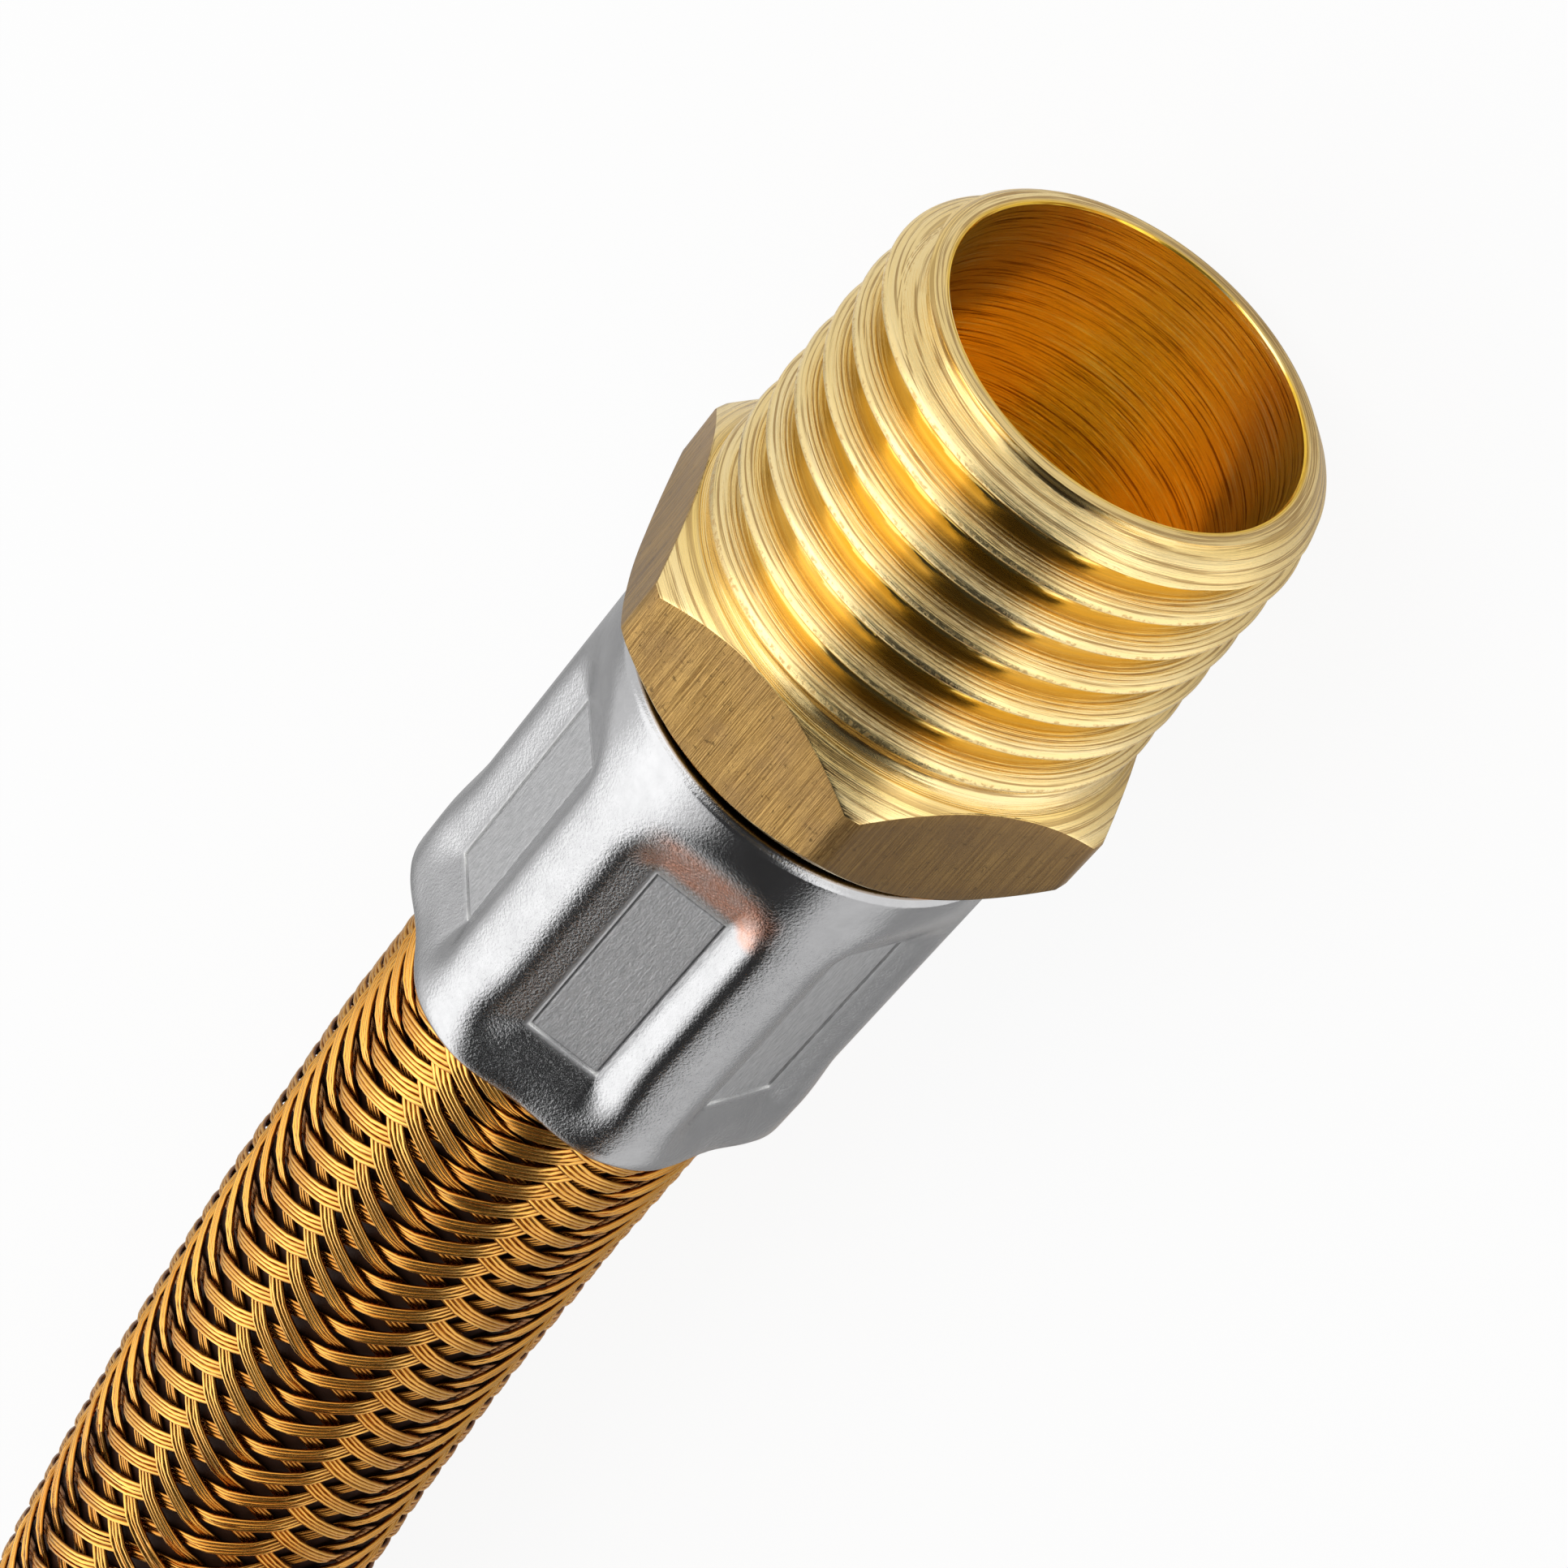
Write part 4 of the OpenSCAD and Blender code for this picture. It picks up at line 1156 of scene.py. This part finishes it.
for name, turn, spread, shade, start, end in (
    ("dark_card_rear", 25, 33, 0.04, 0.12, 0.95),
    ("dark_card_front", 6, 28, 0.04, -0.6, 0.12),
    ("light_card_right", 72, 32, 1.8, -0.6, 0.12),
):
    place = strip_matrix(turn, card_far, (start + end) / 2)
    card(name, shade, end - start, wide(spread, card_far), place)

# low cards keep the coil's own image out of the fitting and the ferrule beside it
upright = Matrix.Rotation(math.pi / 2, 4, "X")
for name, start, end, bottom, top, shade in (
    ("low_card_front", -0.020, 0.0075, 0.0005, 0.0165, 1.25),
    ("low_card_upper", 0.0075, 0.045, 0.0070, 0.0165, 0.9),
    ("low_card_lower", 0.0075, 0.045, 0.0005, 0.0070, 0.42),
):
    place = Matrix.Translation(((start + end) / 2, 0.016, (bottom + top) / 2)) @ upright
    card(name, shade, end - start, top - bottom, place)

# on the table, a grey card to the left, and narrow dark strips beside the ferrule's right side
# and below the thread; the one below the thread is painted shadow, the floor's contact shadow
# as the thread reflects it
for name, length, width, middle, shade in (
    ("table_card", 0.812, 0.519, (0.414, -0.2655), 0.52),
    ("table_strip", 0.040, 0.0055, (0.025, 0.0130), 0.42),
    ("table_shade", 0.011, 0.0050, (-0.0015, 0.0035), 0.25),
):
    card(name, shade, length, width, Matrix.Translation((*middle, table_gap)))

floor, tree = flat_piece("floor", 3, 3, Matrix.Identity(4))
ray = tree.nodes.new("ShaderNodeLightPath").outputs
seen = scaled(ray["Is Camera Ray"], 0.92)
seen = scaled(ray["Is Transmission Ray"], 0.85, seen)
seen = scaled(ray["Is Glossy Ray"], 0.1, seen)
plain = add(tree, "ShaderNodeBsdfDiffuse", {"Color": (0.86, 0.86, 0.86, 1)})
glow = add(tree, "ShaderNodeEmission", {"Color": (1, 1, 1, 1), "Strength": 1.0})
both = add(tree, "ShaderNodeMixShader", {0: seen, 1: plain.outputs[0], 2: glow.outputs[0]})
add(tree, "ShaderNodeOutputMaterial", {0: both.outputs[0]})

world = bpy.data.worlds.new("world")
bpy.context.scene.world = world
tree = bare_tree(world)
ray = tree.nodes.new("ShaderNodeLightPath").outputs
shown = maths("MAXIMUM", ray["Is Glossy Ray"], ray["Is Transmission Ray"])
shown = maths("MAXIMUM", ray["Is Camera Ray"], shown)
sky = add(tree, "ShaderNodeBackground", {
    "Color": (1, 1, 1, 1), "Strength": scaled(shown, 0.35, 0.65),
})
add(tree, "ShaderNodeOutputWorld", {0: sky.outputs[0]})

bpy.context.scene.view_settings.view_transform = "Standard"
